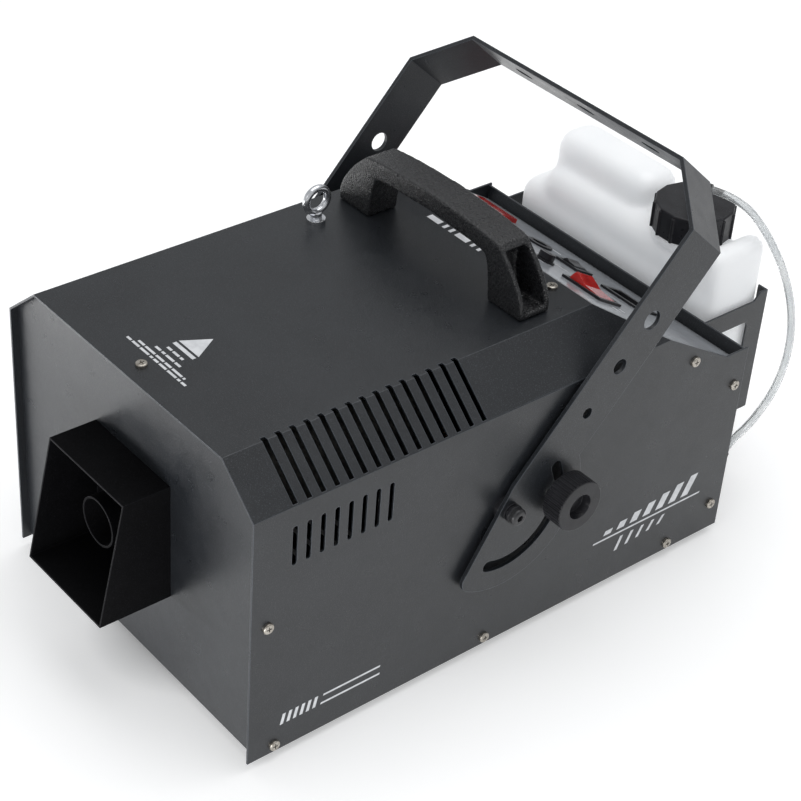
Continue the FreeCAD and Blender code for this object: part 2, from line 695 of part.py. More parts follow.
def eye_bolt():
    """Lifting eye for a safety cable: ring, collar and threaded shank."""
    collar = rod(7.0, (EYE_X, EYE_Y, TOP_Z), (EYE_X, EYE_Y, TOP_Z + 3.0))
    neck = rod(4.2, (EYE_X, EYE_Y, TOP_Z + 2.0), (EYE_X, EYE_Y, TOP_Z + 8.0))
    ring_z = TOP_Z + 8.0 + EYE_RING_R
    ring = Part.makeTorus(EYE_RING_R, EYE_WIRE_R, Vector(EYE_X, EYE_Y, ring_z), Vector(1, 0, 0))
    shank = rod(3.0, (EYE_X, EYE_Y, TOP_Z - 12.0), (EYE_X, EYE_Y, TOP_Z + 2.0))
    hole = rod(EYE_RING_R - EYE_WIRE_R, (EYE_X - 10, EYE_Y, ring_z), (EYE_X + 10, EYE_Y, ring_z))
    stem = collar.fuse(neck).cut(hole)
    return stem.fuse(ring).fuse(shank)


def eye_nut():
    return hex_nut((EYE_X, EYE_Y, TOP_Z - SHEET - 5.0), (0, 0, 1), 10.0, 5.0, 3.0)


def cover_screws():
    """All pan-head screws that hold the cover: both sides and the top."""
    screws = []
    for y, z in COVER_SCREWS:
        screws.append(pan_screw((HALF, y, z), (1, 0, 0), 8.0))
        screws.append(pan_screw((-HALF, y, z), (-1, 0, 0), 8.0))
    for x, y in TOP_SCREWS:
        screws.append(pan_screw((x, y, TOP_Z), (0, 0, 1), 8.0))
    return screws


def rubber_feet():
    feet = []
    for x, y in FOOT_PLACES:
        foot = Part.makeCone(FOOT_R - 2.0, FOOT_R, FOOT_H, Vector(x, y, FLOOR_Z - FOOT_H))
        recess = Part.makeCylinder(5.0, 4.5, Vector(x, y, -FOOT_H - 0.5))
        bore = Part.makeCylinder(M4, FOOT_H + 2, Vector(x, y, -FOOT_H))
        feet.append(foot.cut(recess).cut(bore))
    return Part.makeCompound(feet)


def foot_screws():
    screws = []
    for x, y in FOOT_PLACES:
        head = rod(4.0, (x, y, -FOOT_H + 2.1), (x, y, -FOOT_H + 4.0))
        shank = rod(M4, (x, y, -FOOT_H + 4.0), (x, y, 9.0))
        screws.append(head.fuse(shank))
    return screws


# ---------------------------------------------------------------- yoke
def arm_point(along_arm, beside):
    """Point (y, z) in the yoke's plane, from the pivot along the arm and to its front."""
    lean = math.radians(YOKE_LEAN_DEG)
    y = PIVOT_Y + along_arm * math.cos(lean) - beside * math.sin(lean)
    z = PIVOT_Z + along_arm * math.sin(lean) + beside * math.cos(lean)
    return y, z


def arm_polar(radius, degrees):
    angle = math.radians(degrees)
    return arm_point(radius * math.cos(angle), radius * math.sin(angle))


def curved_slot(x0, x1):
    """Slot for the locking stud, an arc about the pivot."""
    points = []
    steps = 40
    span = SLOT_TO_DEG - SLOT_FROM_DEG
    outer = SLOT_R + SLOT_WIDTH / 2.0
    inner = SLOT_R - SLOT_WIDTH / 2.0
    ring = rod(outer, (x0, PIVOT_Y, PIVOT_Z), (x1, PIVOT_Y, PIVOT_Z))
    ring = ring.cut(rod(inner, (x0, PIVOT_Y, PIVOT_Z), (x1, PIVOT_Y, PIVOT_Z)))
    points.append((PIVOT_Y, PIVOT_Z))
    for i in range(steps + 1):
        points.append(arm_polar(2.0 * SLOT_R, SLOT_FROM_DEG + span * i / steps))
    slot = ring.common(prism_x(points, x0, x1))
    for end in (SLOT_FROM_DEG, SLOT_TO_DEG):
        y, z = arm_polar(SLOT_R, end)
        slot = slot.fuse(rod(SLOT_WIDTH / 2.0, (x0, y, z), (x1, y, z)))
    return slot


def yoke_arm():
    """Right arm: strip, sector at its lower end, slot and holes."""
    x0 = YOKE_OUT - YOKE_SHEET
    strip = prism_x(
        [arm_point(0.0, ARM_FRONT), arm_point(ARM_FOLD, ARM_FRONT),
         arm_point(ARM_FOLD, ARM_BACK), arm_point(0.0, ARM_BACK)],
        x0, YOKE_OUT,
    )
    disc = rod(SECTOR_R, (x0, PIVOT_Y, PIVOT_Z), (YOKE_OUT, PIVOT_Y, PIVOT_Z))
    keep = prism_x(
        [arm_point(16.0, ARM_FRONT), arm_point(-70.0, -5.5), arm_point(-70.0, -90.0),
         arm_point(70.0, -90.0), arm_point(70.0, ARM_FRONT)],
        x0, YOKE_OUT,
    )
    sector = disc.common(keep)
    front_fill = prism_x(
        [arm_point(0.0, ARM_FRONT + 5), arm_point(16.0, ARM_FRONT), arm_point(-70.0, -5.5),
         arm_point(-70.0, 30.0)],
        x0, YOKE_OUT,
    )
    arm = strip.fuse(sector).cut(front_fill).removeSplitter()
    corner_y, corner_z = arm_point(-63.5, -4.2)
    arm = rounded(
        arm, 9.0,
        lambda e: along(e, 0) and
        math.hypot(e.CenterOfMass.y - corner_y, e.CenterOfMass.z - corner_z) < 4.0,
    )
    arm = arm.cut(curved_slot(x0 - 1, YOKE_OUT + 1))
    arm = arm.cut(rod(PIVOT_R + 0.05, (x0 - 1, PIVOT_Y, PIVOT_Z), (YOKE_OUT + 1, PIVOT_Y, PIVOT_Z)))
    for distance, radius in ((162.5, 7.5), (124.0, 6.0), (85.0, 4.3)):
        y, z = arm_point(distance, (ARM_FRONT + ARM_BACK) / 2.0)
        arm = arm.cut(rod(radius, (x0 - 1, y, z), (YOKE_OUT + 1, y, z)))
    return arm


PIVOT_R = 4.0


def yoke_bracket():
    """Folded strap: two arms, two slanted corners and the slotted cross bar."""
    inset = YOKE_SHEET
    turn = math.atan2(BAR_REACH - ARM_FOLD, YOKE_OUT - BAR_HALF)
    arm_in = inset * math.tan((math.pi / 2.0 - turn) / 2.0)
    bar_in = inset * math.tan(turn / 2.0)
    outer = [(YOKE_OUT, ARM_FOLD - 20.0), (YOKE_OUT, ARM_FOLD), (BAR_HALF, BAR_REACH)]
    inner = [
        (YOKE_OUT - inset, ARM_FOLD - 20.0), (YOKE_OUT - inset, ARM_FOLD - arm_in),
        (BAR_HALF - bar_in, BAR_REACH - inset),
    ]
    outline = outer + [(-x, d) for x, d in reversed(outer)]
    outline += [(-x, d) for x, d in inner] + list(reversed(inner))
    corners = []
    for x, distance in outline:
        y, z = arm_point(distance, ARM_BACK)
        corners.append(Vector(x, y, z))
    face = Part.Face(Part.makePolygon(corners + [corners[0]]))
    y0, z0 = arm_point(0.0, ARM_BACK)
    y1, z1 = arm_point(0.0, ARM_FRONT)
    strap = face.extrude(Vector(0, y1 - y0, z1 - z0))
    middle = (ARM_FRONT + ARM_BACK) / 2.0
    for x in (-67.0, 0.0, 67.0):
        ends = []
        for shift in (-4.0, 4.0):
            ya, za = arm_point(BAR_REACH - 10, middle)
            yb, zb = arm_point(BAR_REACH + 10, middle)
            ends.append(rod(4.5, (x + shift, ya, za), (x + shift, yb, zb)))
        ya, za = arm_point(BAR_REACH - 10, middle - 4.5)
        slab = Part.makePolygon([
            Vector(x - 4, ya, za), Vector(x + 4, ya, za),
            Vector(x + 4, *arm_point(BAR_REACH - 10, middle + 4.5)),
            Vector(x - 4, *arm_point(BAR_REACH - 10, middle + 4.5)), Vector(x - 4, ya, za),
        ])
        yb, zb = arm_point(BAR_REACH + 10, middle - 4.5)
        ends.append(Part.Face(slab).extrude(Vector(0, yb - ya, zb - za)))
        for cutter in ends:
            strap = strap.cut(cutter)
    for arm in both_sides(yoke_arm()):
        strap = strap.fuse(arm)
    return strap.removeSplitter()


COLLAR_H = 6.0
COLLAR_R = 7.0
COLLAR_WAIST_R = 5.2
SPACER_R = 9.0
PLAY = 0.05


def pivot_group(make):
    """A right-hand pivot piece and its mirror image as one node."""
    return Part.makeCompound(both_sides(make))


def pivot_at(x0, x1, radius):
    return rod(radius, (x0, PIVOT_Y, PIVOT_Z), (x1, PIVOT_Y, PIVOT_Z))


def pivot_spacer():
    """Nylon washer that keeps an arm clear of the side wall."""
    x1 = YOKE_OUT - YOKE_SHEET - PLAY
    return pivot_at(HALF, x1, SPACER_R).cut(pivot_at(HALF - 1, x1 + 1, PIVOT_R))


def pivot_collar():
    """Black waisted collar under the head of the pivot bolt."""
    x0 = YOKE_OUT + PLAY
    x1 = YOKE_OUT + COLLAR_H
    ring = pivot_at(x0, x1, COLLAR_R)
    ring = rounded(ring, 1.0, lambda e: e.CenterOfMass.x > x1 - 0.1)
    waist = pivot_at(x0 + 2.0, x0 + 3.8, COLLAR_R + 1.0)
    ring = ring.cut(waist.cut(pivot_at(x0 + 1.0, x1, COLLAR_WAIST_R)))
    return ring.cut(pivot_at(x0 - 1, x1 + 1, PIVOT_R))


def pivot_bolt():
    """Button-head bolt with a hexagon socket, through arm, spacer and side wall."""
    x1 = YOKE_OUT + COLLAR_H
    head = pivot_at(x1, x1 + 5.0, 6.5)
    head = rounded(head, 2.4, lambda e: e.CenterOfMass.x > x1 + 4.9)
    hexagon = hex_nut((x1 + 2.2, PIVOT_Y, PIVOT_Z), (1, 0, 0), 5.0, 4.0, 0.01)
    socket = hexagon.fuse(pivot_at(x1 + 2.2, x1 + 6.2, 0.5))
    return head.fuse(pivot_at(HALF - 14.0, x1, PIVOT_R)).cut(socket)


def pivot_nut():
    return hex_nut((INNER - 7.0, PIVOT_Y, PIVOT_Z), (1, 0, 0), 13.0, 7.0, PIVOT_R)


KNOB_R = 20.0
KNOB_FACE_X = 174.3
KNOB_FLUTES = 40
FLUTE_R = 1.1
STUD_END_X = KNOB_FACE_X - 9.0
WASHER_H = 1.6


def stud_at(x0, x1, radius):
    return rod(radius, (x0, STUD_Y, STUD_Z), (x1, STUD_Y, STUD_Z))


def knob_washer():
    x0 = YOKE_OUT + PLAY
    x1 = YOKE_OUT + WASHER_H
    return stud_at(x0, x1, 11.0).cut(stud_at(x0 - 1, x1 + 1, PIVOT_R + 0.05))


def lock_knob():
    """Fluted hand knob with a dished centre."""
    x0 = YOKE_OUT + WASHER_H + PLAY
    hub = stud_at(x0, x0 + 6.0, 11.0)
    rim = stud_at(x0 + 4.0, KNOB_FACE_X, KNOB_R)
    rim = rounded(rim, 1.0, lambda e: True)
    knob = hub.fuse(rim)
    for i in range(KNOB_FLUTES):
        angle = 2.0 * math.pi * i / KNOB_FLUTES
        y = STUD_Y + (KNOB_R + 0.6) * math.cos(angle)
        z = STUD_Z + (KNOB_R + 0.6) * math.sin(angle)
        knob = knob.cut(rod(FLUTE_R, (x0 + 3.0, y, z), (KNOB_FACE_X + 1, y, z)))
    dish = Part.makeCone(
        8.0, 10.0, 6.5, Vector(KNOB_FACE_X - 6.5, STUD_Y, STUD_Z), Vector(1, 0, 0)
    )
    knob = knob.cut(dish)
    return knob.cut(stud_at(x0 - 1, STUD_END_X, PIVOT_R))


def knob_stud():
    """Threaded stud moulded into a knob and screwed into the wall's nut."""
    return stud_at(HALF - 12.0, STUD_END_X, PIVOT_R)


def stud_nut():
    """Nut welded inside the side wall for a knob's stud."""
    return hex_nut((INNER - 7.0, STUD_Y, STUD_Z), (1, 0, 0), 13.0, 7.0, PIVOT_R + 0.05)


# ---------------------------------------------------------------- tank and tray
def tank_tray():
    """Sheet tray on the rear panel: floor, two windowed cheeks and retaining lips."""
    floor = box(TRAY_LEFT, TRAY_RIGHT, REAR_Y, TRAY_BACK_Y, TRAY_Z, TRAY_Z + SHEET)
    tray = floor
    window = box(-200, 200, REAR_Y + 16.0, TRAY_BACK_Y - 18.0, WINDOW_BOTTOM_Z, WINDOW_TOP_Z)
    window = rounded(window, 4.0, lambda e: along(e, 0))
    for x0 in (TRAY_LEFT, TRAY_RIGHT - SHEET):
        cheek = prism_x(
            [(REAR_Y, TRAY_Z), (TRAY_BACK_Y, TRAY_Z), (TRAY_BACK_Y, TRAY_EAR_Z),
             (TRAY_BACK_Y - 8.0, TRAY_EAR_Z), (TRAY_BACK_Y - 14.0, REAR_TOP_Z),
             (REAR_Y, REAR_TOP_Z)],
            x0, x0 + SHEET,
        )
        tray = tray.fuse(cheek.cut(window))
    lips = [
        box(TRAY_RIGHT - 9.0, TRAY_RIGHT, TRAY_BACK_Y - SHEET, TRAY_BACK_Y, TRAY_Z, TRAY_EAR_Z),
        box(TRAY_LEFT, TRAY_LEFT + 9.0, TRAY_BACK_Y - SHEET, TRAY_BACK_Y, TRAY_Z, TRAY_EAR_Z),
        box(TRAY_LEFT, TRAY_RIGHT, TRAY_BACK_Y - SHEET, TRAY_BACK_Y, TRAY_Z, TRAY_Z + 24.0),
        box(TRAY_RIGHT - 15.0, TRAY_RIGHT, REAR_Y, REAR_Y + SHEET, TRAY_Z, REAR_TOP_Z),
        box(TRAY_LEFT, TRAY_LEFT + 15.0, REAR_Y, REAR_Y + SHEET, TRAY_Z, REAR_TOP_Z),
    ]
    for lip in lips:
        tray = tray.fuse(lip)
    for x, z in TRAY_RIVETS:
        tray = tray.cut(rod(1.6, (x, REAR_Y - 5, z), (x, REAR_Y + 5, z)))
    return tray.removeSplitter()


def tray_rivets():
    """Blind rivets that hold the tray on the rear panel."""
    rivets = []
    for x, z in TRAY_RIVETS:
        head = rod(3.2, (x, REAR_Y + SHEET, z), (x, REAR_Y + SHEET + 1.2, z))
        stem = rod(1.6, (x, REAR_Y - SHEET - 3.0, z), (x, REAR_Y + SHEET, z))
        tail = rod(2.4, (x, REAR_Y - SHEET - 3.0, z), (x, REAR_Y - SHEET, z))
        rivets.append(head.fuse(stem).fuse(tail))
    return Part.makeCompound(rivets)


NECK_R = 24.0


def tank_body(shrink):
    """Outside of the canister, or its hollow when shrink is the wall thickness."""
    body = None
    for left, right, front, bottom, top, radius in TANK_BLOCKS:
        block = box(left + shrink, right - shrink, front + shrink, TANK_BACK - shrink,
                    bottom + shrink, top - shrink)
        block = rounded(
            block, radius - shrink, lambda e: along(e, 2) or e.BoundBox.ZMin > top - shrink - 0.01
        )
        if body is None:
            foot = bottom + shrink + 0.01
            body = rounded(block, 5.0 - shrink, lambda e: e.BoundBox.ZMax < foot)
        else:
            body = body.fuse(block)
    return body


def fluid_tank():
    """Blow-moulded canister with a raised grip and an open neck."""
    neck = rod(NECK_R, (CAP_X, CAP_Y, TANK_SHOULDER_Z - 3.0), (CAP_X, CAP_Y, CAP_TOP_Z - 6.0))
    bore = rod(
        NECK_R - 2.5, (CAP_X, CAP_Y, TANK_SHOULDER_Z - 10.0), (CAP_X, CAP_Y, CAP_TOP_Z)
    )
    return tank_body(0.0).fuse(neck).cut(tank_body(TANK_WALL)).cut(bore)


CAP_RIBS = 14
CAP_SKIN = 2.5


def tank_cap():
    """Screw cap: many-sided skirt with a rib at each corner, hole for the hose."""
    corners = []
    for i in range(CAP_RIBS):
        angle = 2.0 * math.pi * i / CAP_RIBS
        corners.append(Vector(
            CAP_X + CAP_R * math.cos(angle), CAP_Y + CAP_R * math.sin(angle), CAP_BOTTOM_Z
        ))
    cap = Part.Face(Part.makePolygon(corners + [corners[0]]))
    cap = cap.extrude(Vector(0, 0, CAP_TOP_Z - CAP_BOTTOM_Z))
    cap = rounded(cap, 1.2, lambda e: e.BoundBox.ZMin > CAP_TOP_Z - 0.1)
    for corner in corners:
        rib = Part.makeCylinder(1.3, CAP_TOP_Z - CAP_BOTTOM_Z - 2.5, corner)
        cap = cap.fuse(rib)
    hollow = rod(
        NECK_R + 0.4, (CAP_X, CAP_Y, CAP_BOTTOM_Z - 1), (CAP_X, CAP_Y, CAP_TOP_Z - CAP_SKIN - 2.0)
    )
    return cap.cut(hollow).cut(rod(5.05, (CAP_X, CAP_Y, 200), (CAP_X, CAP_Y, CAP_TOP_Z + 1)))


def cap_gasket():
    """Flat ring between the neck's rim and the cap."""
    z0 = CAP_TOP_Z - 6.0
    ring = rod(NECK_R, (CAP_X, CAP_Y, z0), (CAP_X, CAP_Y, z0 + 1.2))
    return ring.cut(rod(NECK_R - 2.5, (CAP_X, CAP_Y, z0 - 1), (CAP_X, CAP_Y, z0 + 2)))


CAP_BEND = Vector(CAP_X, CAP_Y, 242.0)      # bend of the elbow in the cap
CAP_ELBOW_REACH = 11.0


def cap_elbow():
    """Barbed elbow that stands in the cap and turns the hose sideways."""
    stem = rod(5.0, (CAP_X, CAP_Y, CAP_TOP_Z - CAP_SKIN - 6.0), (CAP_X, CAP_Y, CAP_TOP_Z))
    collar = rod(7.0, (CAP_X, CAP_Y, CAP_TOP_Z + 0.3), (CAP_X, CAP_Y, CAP_TOP_Z + 3.0))
    riser = rod(4.2, (CAP_X, CAP_Y, CAP_TOP_Z), tuple(CAP_BEND))
    ball = Part.makeSphere(4.2, CAP_BEND)
    arm = Part.makeCylinder(4.2, CAP_ELBOW_REACH, CAP_BEND, HOSE_START_HEADING)
    barb = Part.makeCylinder(BARB_R, 10.0, HOSE_START, HOSE_START_HEADING)
    elbow = stem.fuse(collar).fuse(riser).fuse(ball).fuse(arm).fuse(barb)
    bore = rod(1.4, (CAP_X, CAP_Y, 200.0), tuple(CAP_BEND))
    return elbow.cut(bore)


HOSE_BEND = (75.0, 498.4, 243.0)            # first point that the hose turns at
HOSE_START_HEADING = (Vector(*HOSE_BEND) - CAP_BEND).normalize()
HOSE_START = CAP_BEND + HOSE_START_HEADING * CAP_ELBOW_REACH
HOSE_ROUTE = [
    tuple(HOSE_START),
    HOSE_BEND,
    (98.0, 508.0, 222.0),
    (123.0, 512.0, 190.0),
    (141.0, 506.0, 154.0),
    (148.0, 491.0, 118.0),
    (144.0, 472.0, 87.0),
    (134.5, 463.5, 68.0),
    (131.0, 462.5, 55.0),
]
HOSE_END_HEADING = (Vector(*HOSE_ROUTE[-1]) - Vector(*HOSE_ROUTE[-2])).normalize()
BARB_R = HOSE_BORE_R - 0.05
FITTING = Vector(*HOSE_ROUTE[-1]) + HOSE_END_HEADING * 13.0     # bend of the rear elbow
FITTING_END_Y = REAR_Y - 16.0


def hose_elbow():
    """Barbed elbow on the rear panel, its outlet in line with the hose's end."""
    end = Vector(*HOSE_ROUTE[-1])
    flange = rod(8.0, (FITTING.x, REAR_Y, FITTING.z), (FITTING.x, REAR_Y + 3.0, FITTING.z))
    neck = rod(4.2, (FITTING.x, FITTING_END_Y, FITTING.z), tuple(FITTING))
    ball = Part.makeSphere(4.2, FITTING)
    riser = rod(4.2, tuple(FITTING), tuple(end))
    barb = Part.makeCylinder(BARB_R, 6.5, end, HOSE_END_HEADING * -1.0)
    return flange.fuse(neck).fuse(ball).fuse(riser).fuse(barb)


def elbow_nut():
    """Nut of the rear elbow inside the rear panel."""
    return hex_nut(
        (FITTING.x, REAR_Y - SHEET - 5.0, FITTING.z), (0, 1, 0), 13.0, 5.0, 4.2
    )


def dip_tube():
    """Rigid pick-up tube from the cap down to a weighted filter near the tank floor."""
    return pipe(3.0, 2.0, (CAP_X, CAP_Y, 78.0), (CAP_X, CAP_Y, CAP_TOP_Z - CAP_SKIN - 6.0))


def filter_weight():
    """Sintered filter on the foot of the pick-up tube."""
    body = rod(7.0, (CAP_X, CAP_Y, 64.0), (CAP_X, CAP_Y, 84.0))
    body = rounded(body, 2.0, lambda e: True)
    return body.cut(rod(3.0, (CAP_X, CAP_Y, 78.0), (CAP_X, CAP_Y, 90.0)))


# ---------------------------------------------------------------- inside
HEATER_Y0 = 64.0
HEATER_Y1 = 236.0
HEATER_HALF = 40.0
HEATER_H = 54.0
HEATER_Z0 = NOZZLE_Z - HEATER_H / 2.0
HEATER_Z1 = NOZZLE_Z + HEATER_H / 2.0


def heater_block():
    """Cast heater block with the nozzle's seat in its front face."""
    block = box(-HEATER_HALF, HEATER_HALF, HEATER_Y0, HEATER_Y1, HEATER_Z0, HEATER_Z1)
    block = rounded(block, 6.0, lambda e: along(e, 1))
    return block.cut(rod(3.0, (0, HEATER_Y0 - 1, NOZZLE_Z), (0, HEATER_Y0 + 14, NOZZLE_Z)))


def heater_jacket():
    """Glass-fibre blanket wrapped round the heater, open at both ends."""
    thick = 8.0
    wrap = box(
        -HEATER_HALF - thick, HEATER_HALF + thick, HEATER_Y0 + 6, HEATER_Y1 - 6,
        HEATER_Z0 - thick, HEATER_Z1 + thick,
    )
    wrap = rounded(wrap, 14.0, lambda e: along(e, 1))
    core = box(-HEATER_HALF, HEATER_HALF, HEATER_Y0, HEATER_Y1, HEATER_Z0, HEATER_Z1)
    return wrap.cut(rounded(core, 6.0, lambda e: along(e, 1)))


def heater_straps():
    """Two sheet brackets that carry the jacketed heater above the floor."""
    brackets = []
    floor_z = PAN_TOP
    under = HEATER_Z0 - 8.0
    for y in (96.0, 196.0):
        seat = box(-44.0, 44.0, y - 8, y + 8, under - SHEET, under)
        bracket = seat
        for leg in both_sides(box(42.5, 44.0, y - 8, y + 8, floor_z, under)):
            bracket = bracket.fuse(leg)
        for toe in both_sides(box(42.5, 60.0, y - 8, y + 8, floor_z, floor_z + SHEET)):
            bracket = bracket.fuse(toe)
        brackets.append(bracket.removeSplitter())
    return brackets


def element_leads():
    """Terminals of the heating element at the rear of the block."""
    pins = []
    for x in (-24.0, 24.0):
        collar = rod(5.0, (x, HEATER_Y1, NOZZLE_Z - 14), (x, HEATER_Y1 + 8, NOZZLE_Z - 14))
        stud = rod(1.8, (x, HEATER_Y1 + 8, NOZZLE_Z - 14), (x, HEATER_Y1 + 20, NOZZLE_Z - 14))
        pins.append(collar.fuse(stud))
    return pins


def thermostats():
    """Working thermostat and safety cut-out, two discs on the heater's rear face."""
    discs = []
    for x in (-22.0, 22.0):
        can = rod(8.0, (x, HEATER_Y1, NOZZLE_Z + 12), (x, HEATER_Y1 + 9, NOZZLE_Z + 12))
        for step in (-4.0, 4.0):
            can = can.fuse(box(
                x + step - 0.4, x + step + 0.4, HEATER_Y1 + 8, HEATER_Y1 + 18,
                NOZZLE_Z + 9, NOZZLE_Z + 15,
            ))
        discs.append(can)
    return discs


NOZZLE_TIP_Y = -6.0
SHROUD_FRONT_Y = -22.0


def fog_nozzle():
    """Brass nozzle screwed into the heater, its tip inside the hood."""
    stem = rod(3.0, (0, HEATER_Y0 + 14, NOZZLE_Z), (0, HEATER_Y0, NOZZLE_Z))
    pipe_part = rod(5.0, (0, NOZZLE_TIP_Y + 8, NOZZLE_Z), (0, HEATER_Y0, NOZZLE_Z))
    hexagon = hex_nut((0, HEATER_Y0 - 9.0, NOZZLE_Z), (0, 1, 0), 17.0, 9.0, 4.9)
    tip = Part.makeCone(3.0, 5.0, 8.0, Vector(0, NOZZLE_TIP_Y, NOZZLE_Z), Vector(0, 1, 0))
    nozzle = stem.fuse(pipe_part).fuse(hexagon).fuse(tip)
    return nozzle.cut(rod(1.0, (0, NOZZLE_TIP_Y - 1, NOZZLE_Z), (0, HEATER_Y0 + 12, NOZZLE_Z)))


def nozzle_shroud():
    """Guard tube round the nozzle, flanged behind the front panel."""
    back = FRONT_Y + SHEET
    tube_part = pipe(
        SHROUD_R, SHROUD_R - 1.5, (0, SHROUD_FRONT_Y, NOZZLE_Z), (0, back, NOZZLE_Z)
    )
    flange = pipe(
        SHROUD_R + 7.0, SHROUD_R - 1.5, (0, back, NOZZLE_Z), (0, back + 1.5, NOZZLE_Z)
    )
    return tube_part.fuse(flange)


PUMP_X = 88.0
PUMP_Z = 52.0
PUMP_Y0 = 300.0
PUMP_Y1 = 345.0


def pump_coil():
    """Solenoid coil with its square iron frame, round the pump's tube."""
    frame = box(PUMP_X - 19, PUMP_X + 19, PUMP_Y0, PUMP_Y1, PUMP_Z - 19, PUMP_Z + 19)
    frame = rounded(frame, 3.0, lambda e: along(e, 1))
    return frame.cut(rod(9.0, (PUMP_X, PUMP_Y0 - 1, PUMP_Z), (PUMP_X, PUMP_Y1 + 1, PUMP_Z)))


def pump_barrel():
    """Pump tube: suction end at the back, delivery end at the front."""
    tube_part = rod(8.9, (PUMP_X, PUMP_Y0 - 20, PUMP_Z), (PUMP_X, PUMP_Y1 + 20, PUMP_Z))
    bore = rod(6.6, (PUMP_X, PUMP_Y0 - 12, PUMP_Z), (PUMP_X, PUMP_Y1 + 12, PUMP_Z))
    barrel = tube_part.cut(bore)
    front = rod(2.0, (PUMP_X, PUMP_Y0 - 34, PUMP_Z), (PUMP_X, PUMP_Y0 - 12, PUMP_Z))
    back = rod(2.0, (PUMP_X, PUMP_Y1 + 12, PUMP_Z), (PUMP_X, PUMP_Y1 + 34, PUMP_Z))
    return barrel.fuse(front).fuse(back)


def pump_plunger():
    """Magnetic plunger that slides in the barrel."""
    y0 = PUMP_Y0 - 2.0
    body = rod(6.5, (PUMP_X, y0, PUMP_Z), (PUMP_X, y0 + 40.0, PUMP_Z))
    return body.cut(rod(2.2, (PUMP_X, y0 - 1, PUMP_Z), (PUMP_X, y0 + 41.0, PUMP_Z)))


def pump_spring():
    """Return spring between the plunger and the barrel's rear end."""
    y0 = PUMP_Y0 + 38.0
    y1 = PUMP_Y1 + 12.0
    turns = 5.0
    pitch = (y1 - y0 - 1.4) / turns
    helix = Part.makeHelix(pitch, y1 - y0 - 1.4, 5.0)
    ring = Part.Wire(Part.makeCircle(0.6, Vector(5.0, 0, 0), Vector(0, 1, 0)))
    coil = Part.Wire(helix).makePipeShell([ring], True, True)
    coil.Placement = FreeCAD.Placement(
        Vector(PUMP_X, y0 + 0.7, PUMP_Z), Rotation(Vector(1, 0, 0), -90.0)
    )
    return coil


def pump_cradle():
    """Bracket that holds the coil on two rubber bushes above the floor."""
    floor_z = PAN_TOP
    seat_z = PUMP_Z - 19.0
    plate = box(PUMP_X - 19, PUMP_X + 19, PUMP_Y0, PUMP_Y1, seat_z - SHEET, seat_z)
    cradle = plate
    for y0 in (PUMP_Y0, PUMP_Y1 - SHEET):
        cradle = cradle.fuse(
            box(PUMP_X - 19, PUMP_X + 19, y0, y0 + SHEET, floor_z + 6.0, seat_z)
        )
    for y0, y1 in ((PUMP_Y0 - 16, PUMP_Y0 + SHEET), (PUMP_Y1 - SHEET, PUMP_Y1 + 16)):
        cradle = cradle.fuse(
            box(PUMP_X - 19, PUMP_X + 19, y0, y1, floor_z + 6.0, floor_z + 6.0 + SHEET)
        )
    return cradle.removeSplitter()


def pump_bushes():
    """Four rubber bushes between the pump bracket and the floor."""
    floor_z = PAN_TOP
    bushes = []
    for x in (PUMP_X - 11, PUMP_X + 11):
        for y in (PUMP_Y0 - 9, PUMP_Y1 + 9):
            bushes.append(rod(6.0, (x, y, floor_z), (x, y, floor_z + 6.0)))
    return Part.makeCompound(bushes)


def pressure_line():
    """Metal tube from the pump's delivery end to the heater's rear face."""
    points = [
        (PUMP_X, PUMP_Y0 - 34, PUMP_Z), (PUMP_X, PUMP_Y0 - 50, PUMP_Z),
        (PUMP_X - 22, PUMP_Y0 - 50, PUMP_Z + 18), (22.0, 262.0, NOZZLE_Z - 18.0),
        (0.0, 262.0, NOZZLE_Z), (0.0, HEATER_Y1, NOZZLE_Z),
    ]
    return tube(points, 2.0, 1.2)


def suction_line():
    """Soft tube from the rear elbow to the pump's suction end."""
    points = [
        (FITTING.x, FITTING_END_Y, FITTING.z), (FITTING.x, FITTING_END_Y - 16.0, FITTING.z),
        (110.0, PUMP_Y1 + 57.0, 46.0), (PUMP_X, PUMP_Y1 + 49.0, PUMP_Z),
        (PUMP_X, PUMP_Y1 + 34.0, PUMP_Z),
    ]
    return tube(points, 3.0, 2.0)


BOARD_Z = 12.0


def circuit_board():
    """Main board on the floor with relay, capacitor and terminal blocks."""
    z1 = BOARD_Z + 1.6
    board = box(-130.0, -30.0, 270.0, 410.0, BOARD_Z, z1)
    parts = [
        box(-124, -104, 280, 309, z1, z1 + 16), box(-96, -80, 280, 302, z1, z1 + 15),
        box(-70, -38, 280, 292, z1, z1 + 11), box(-124, -110, 330, 390, z1, z1 + 12),
        rod(8.0, (-98, 335, z1), (-98, 335, z1 + 26)), box(-60, -36, 372, 402, z1, z1 + 6),
    ]
    for item in parts:
        board = board.fuse(item)
    for x, y in BOARD_HOLES:
        board = board.cut(rod(1.6, (x, y, 0), (x, y, 20)))
    return board


BOARD_HOLES = [(x, y) for x in (-126.0, -34.0) for y in (274.0, 406.0)]


def board_posts():
    """Hexagon posts under the main board."""
    return [
        hex_nut((x, y, PAN_TOP), (0, 0, 1), 5.5, BOARD_Z - PAN_TOP, 1.6)
        for x, y in BOARD_HOLES
    ]


def transformer():
    """Low-voltage transformer on the main board: laminated core and bobbin."""
    z0 = BOARD_Z + 1.6
    core = box(-84, -42, 318, 360, z0 + 3, z0 + 37)
    core = core.cut(box(-78, -70, 310, 370, z0 + 9, z0 + 31))
    core = core.cut(box(-56, -48, 310, 370, z0 + 9, z0 + 31))
    bobbin = box(-77.8, -48.2, 322, 356, z0 + 9.2, z0 + 30.8)
    foot = box(-84, -42, 318, 360, z0, z0 + 3.0)
    return core.fuse(bobbin).fuse(foot).removeSplitter()


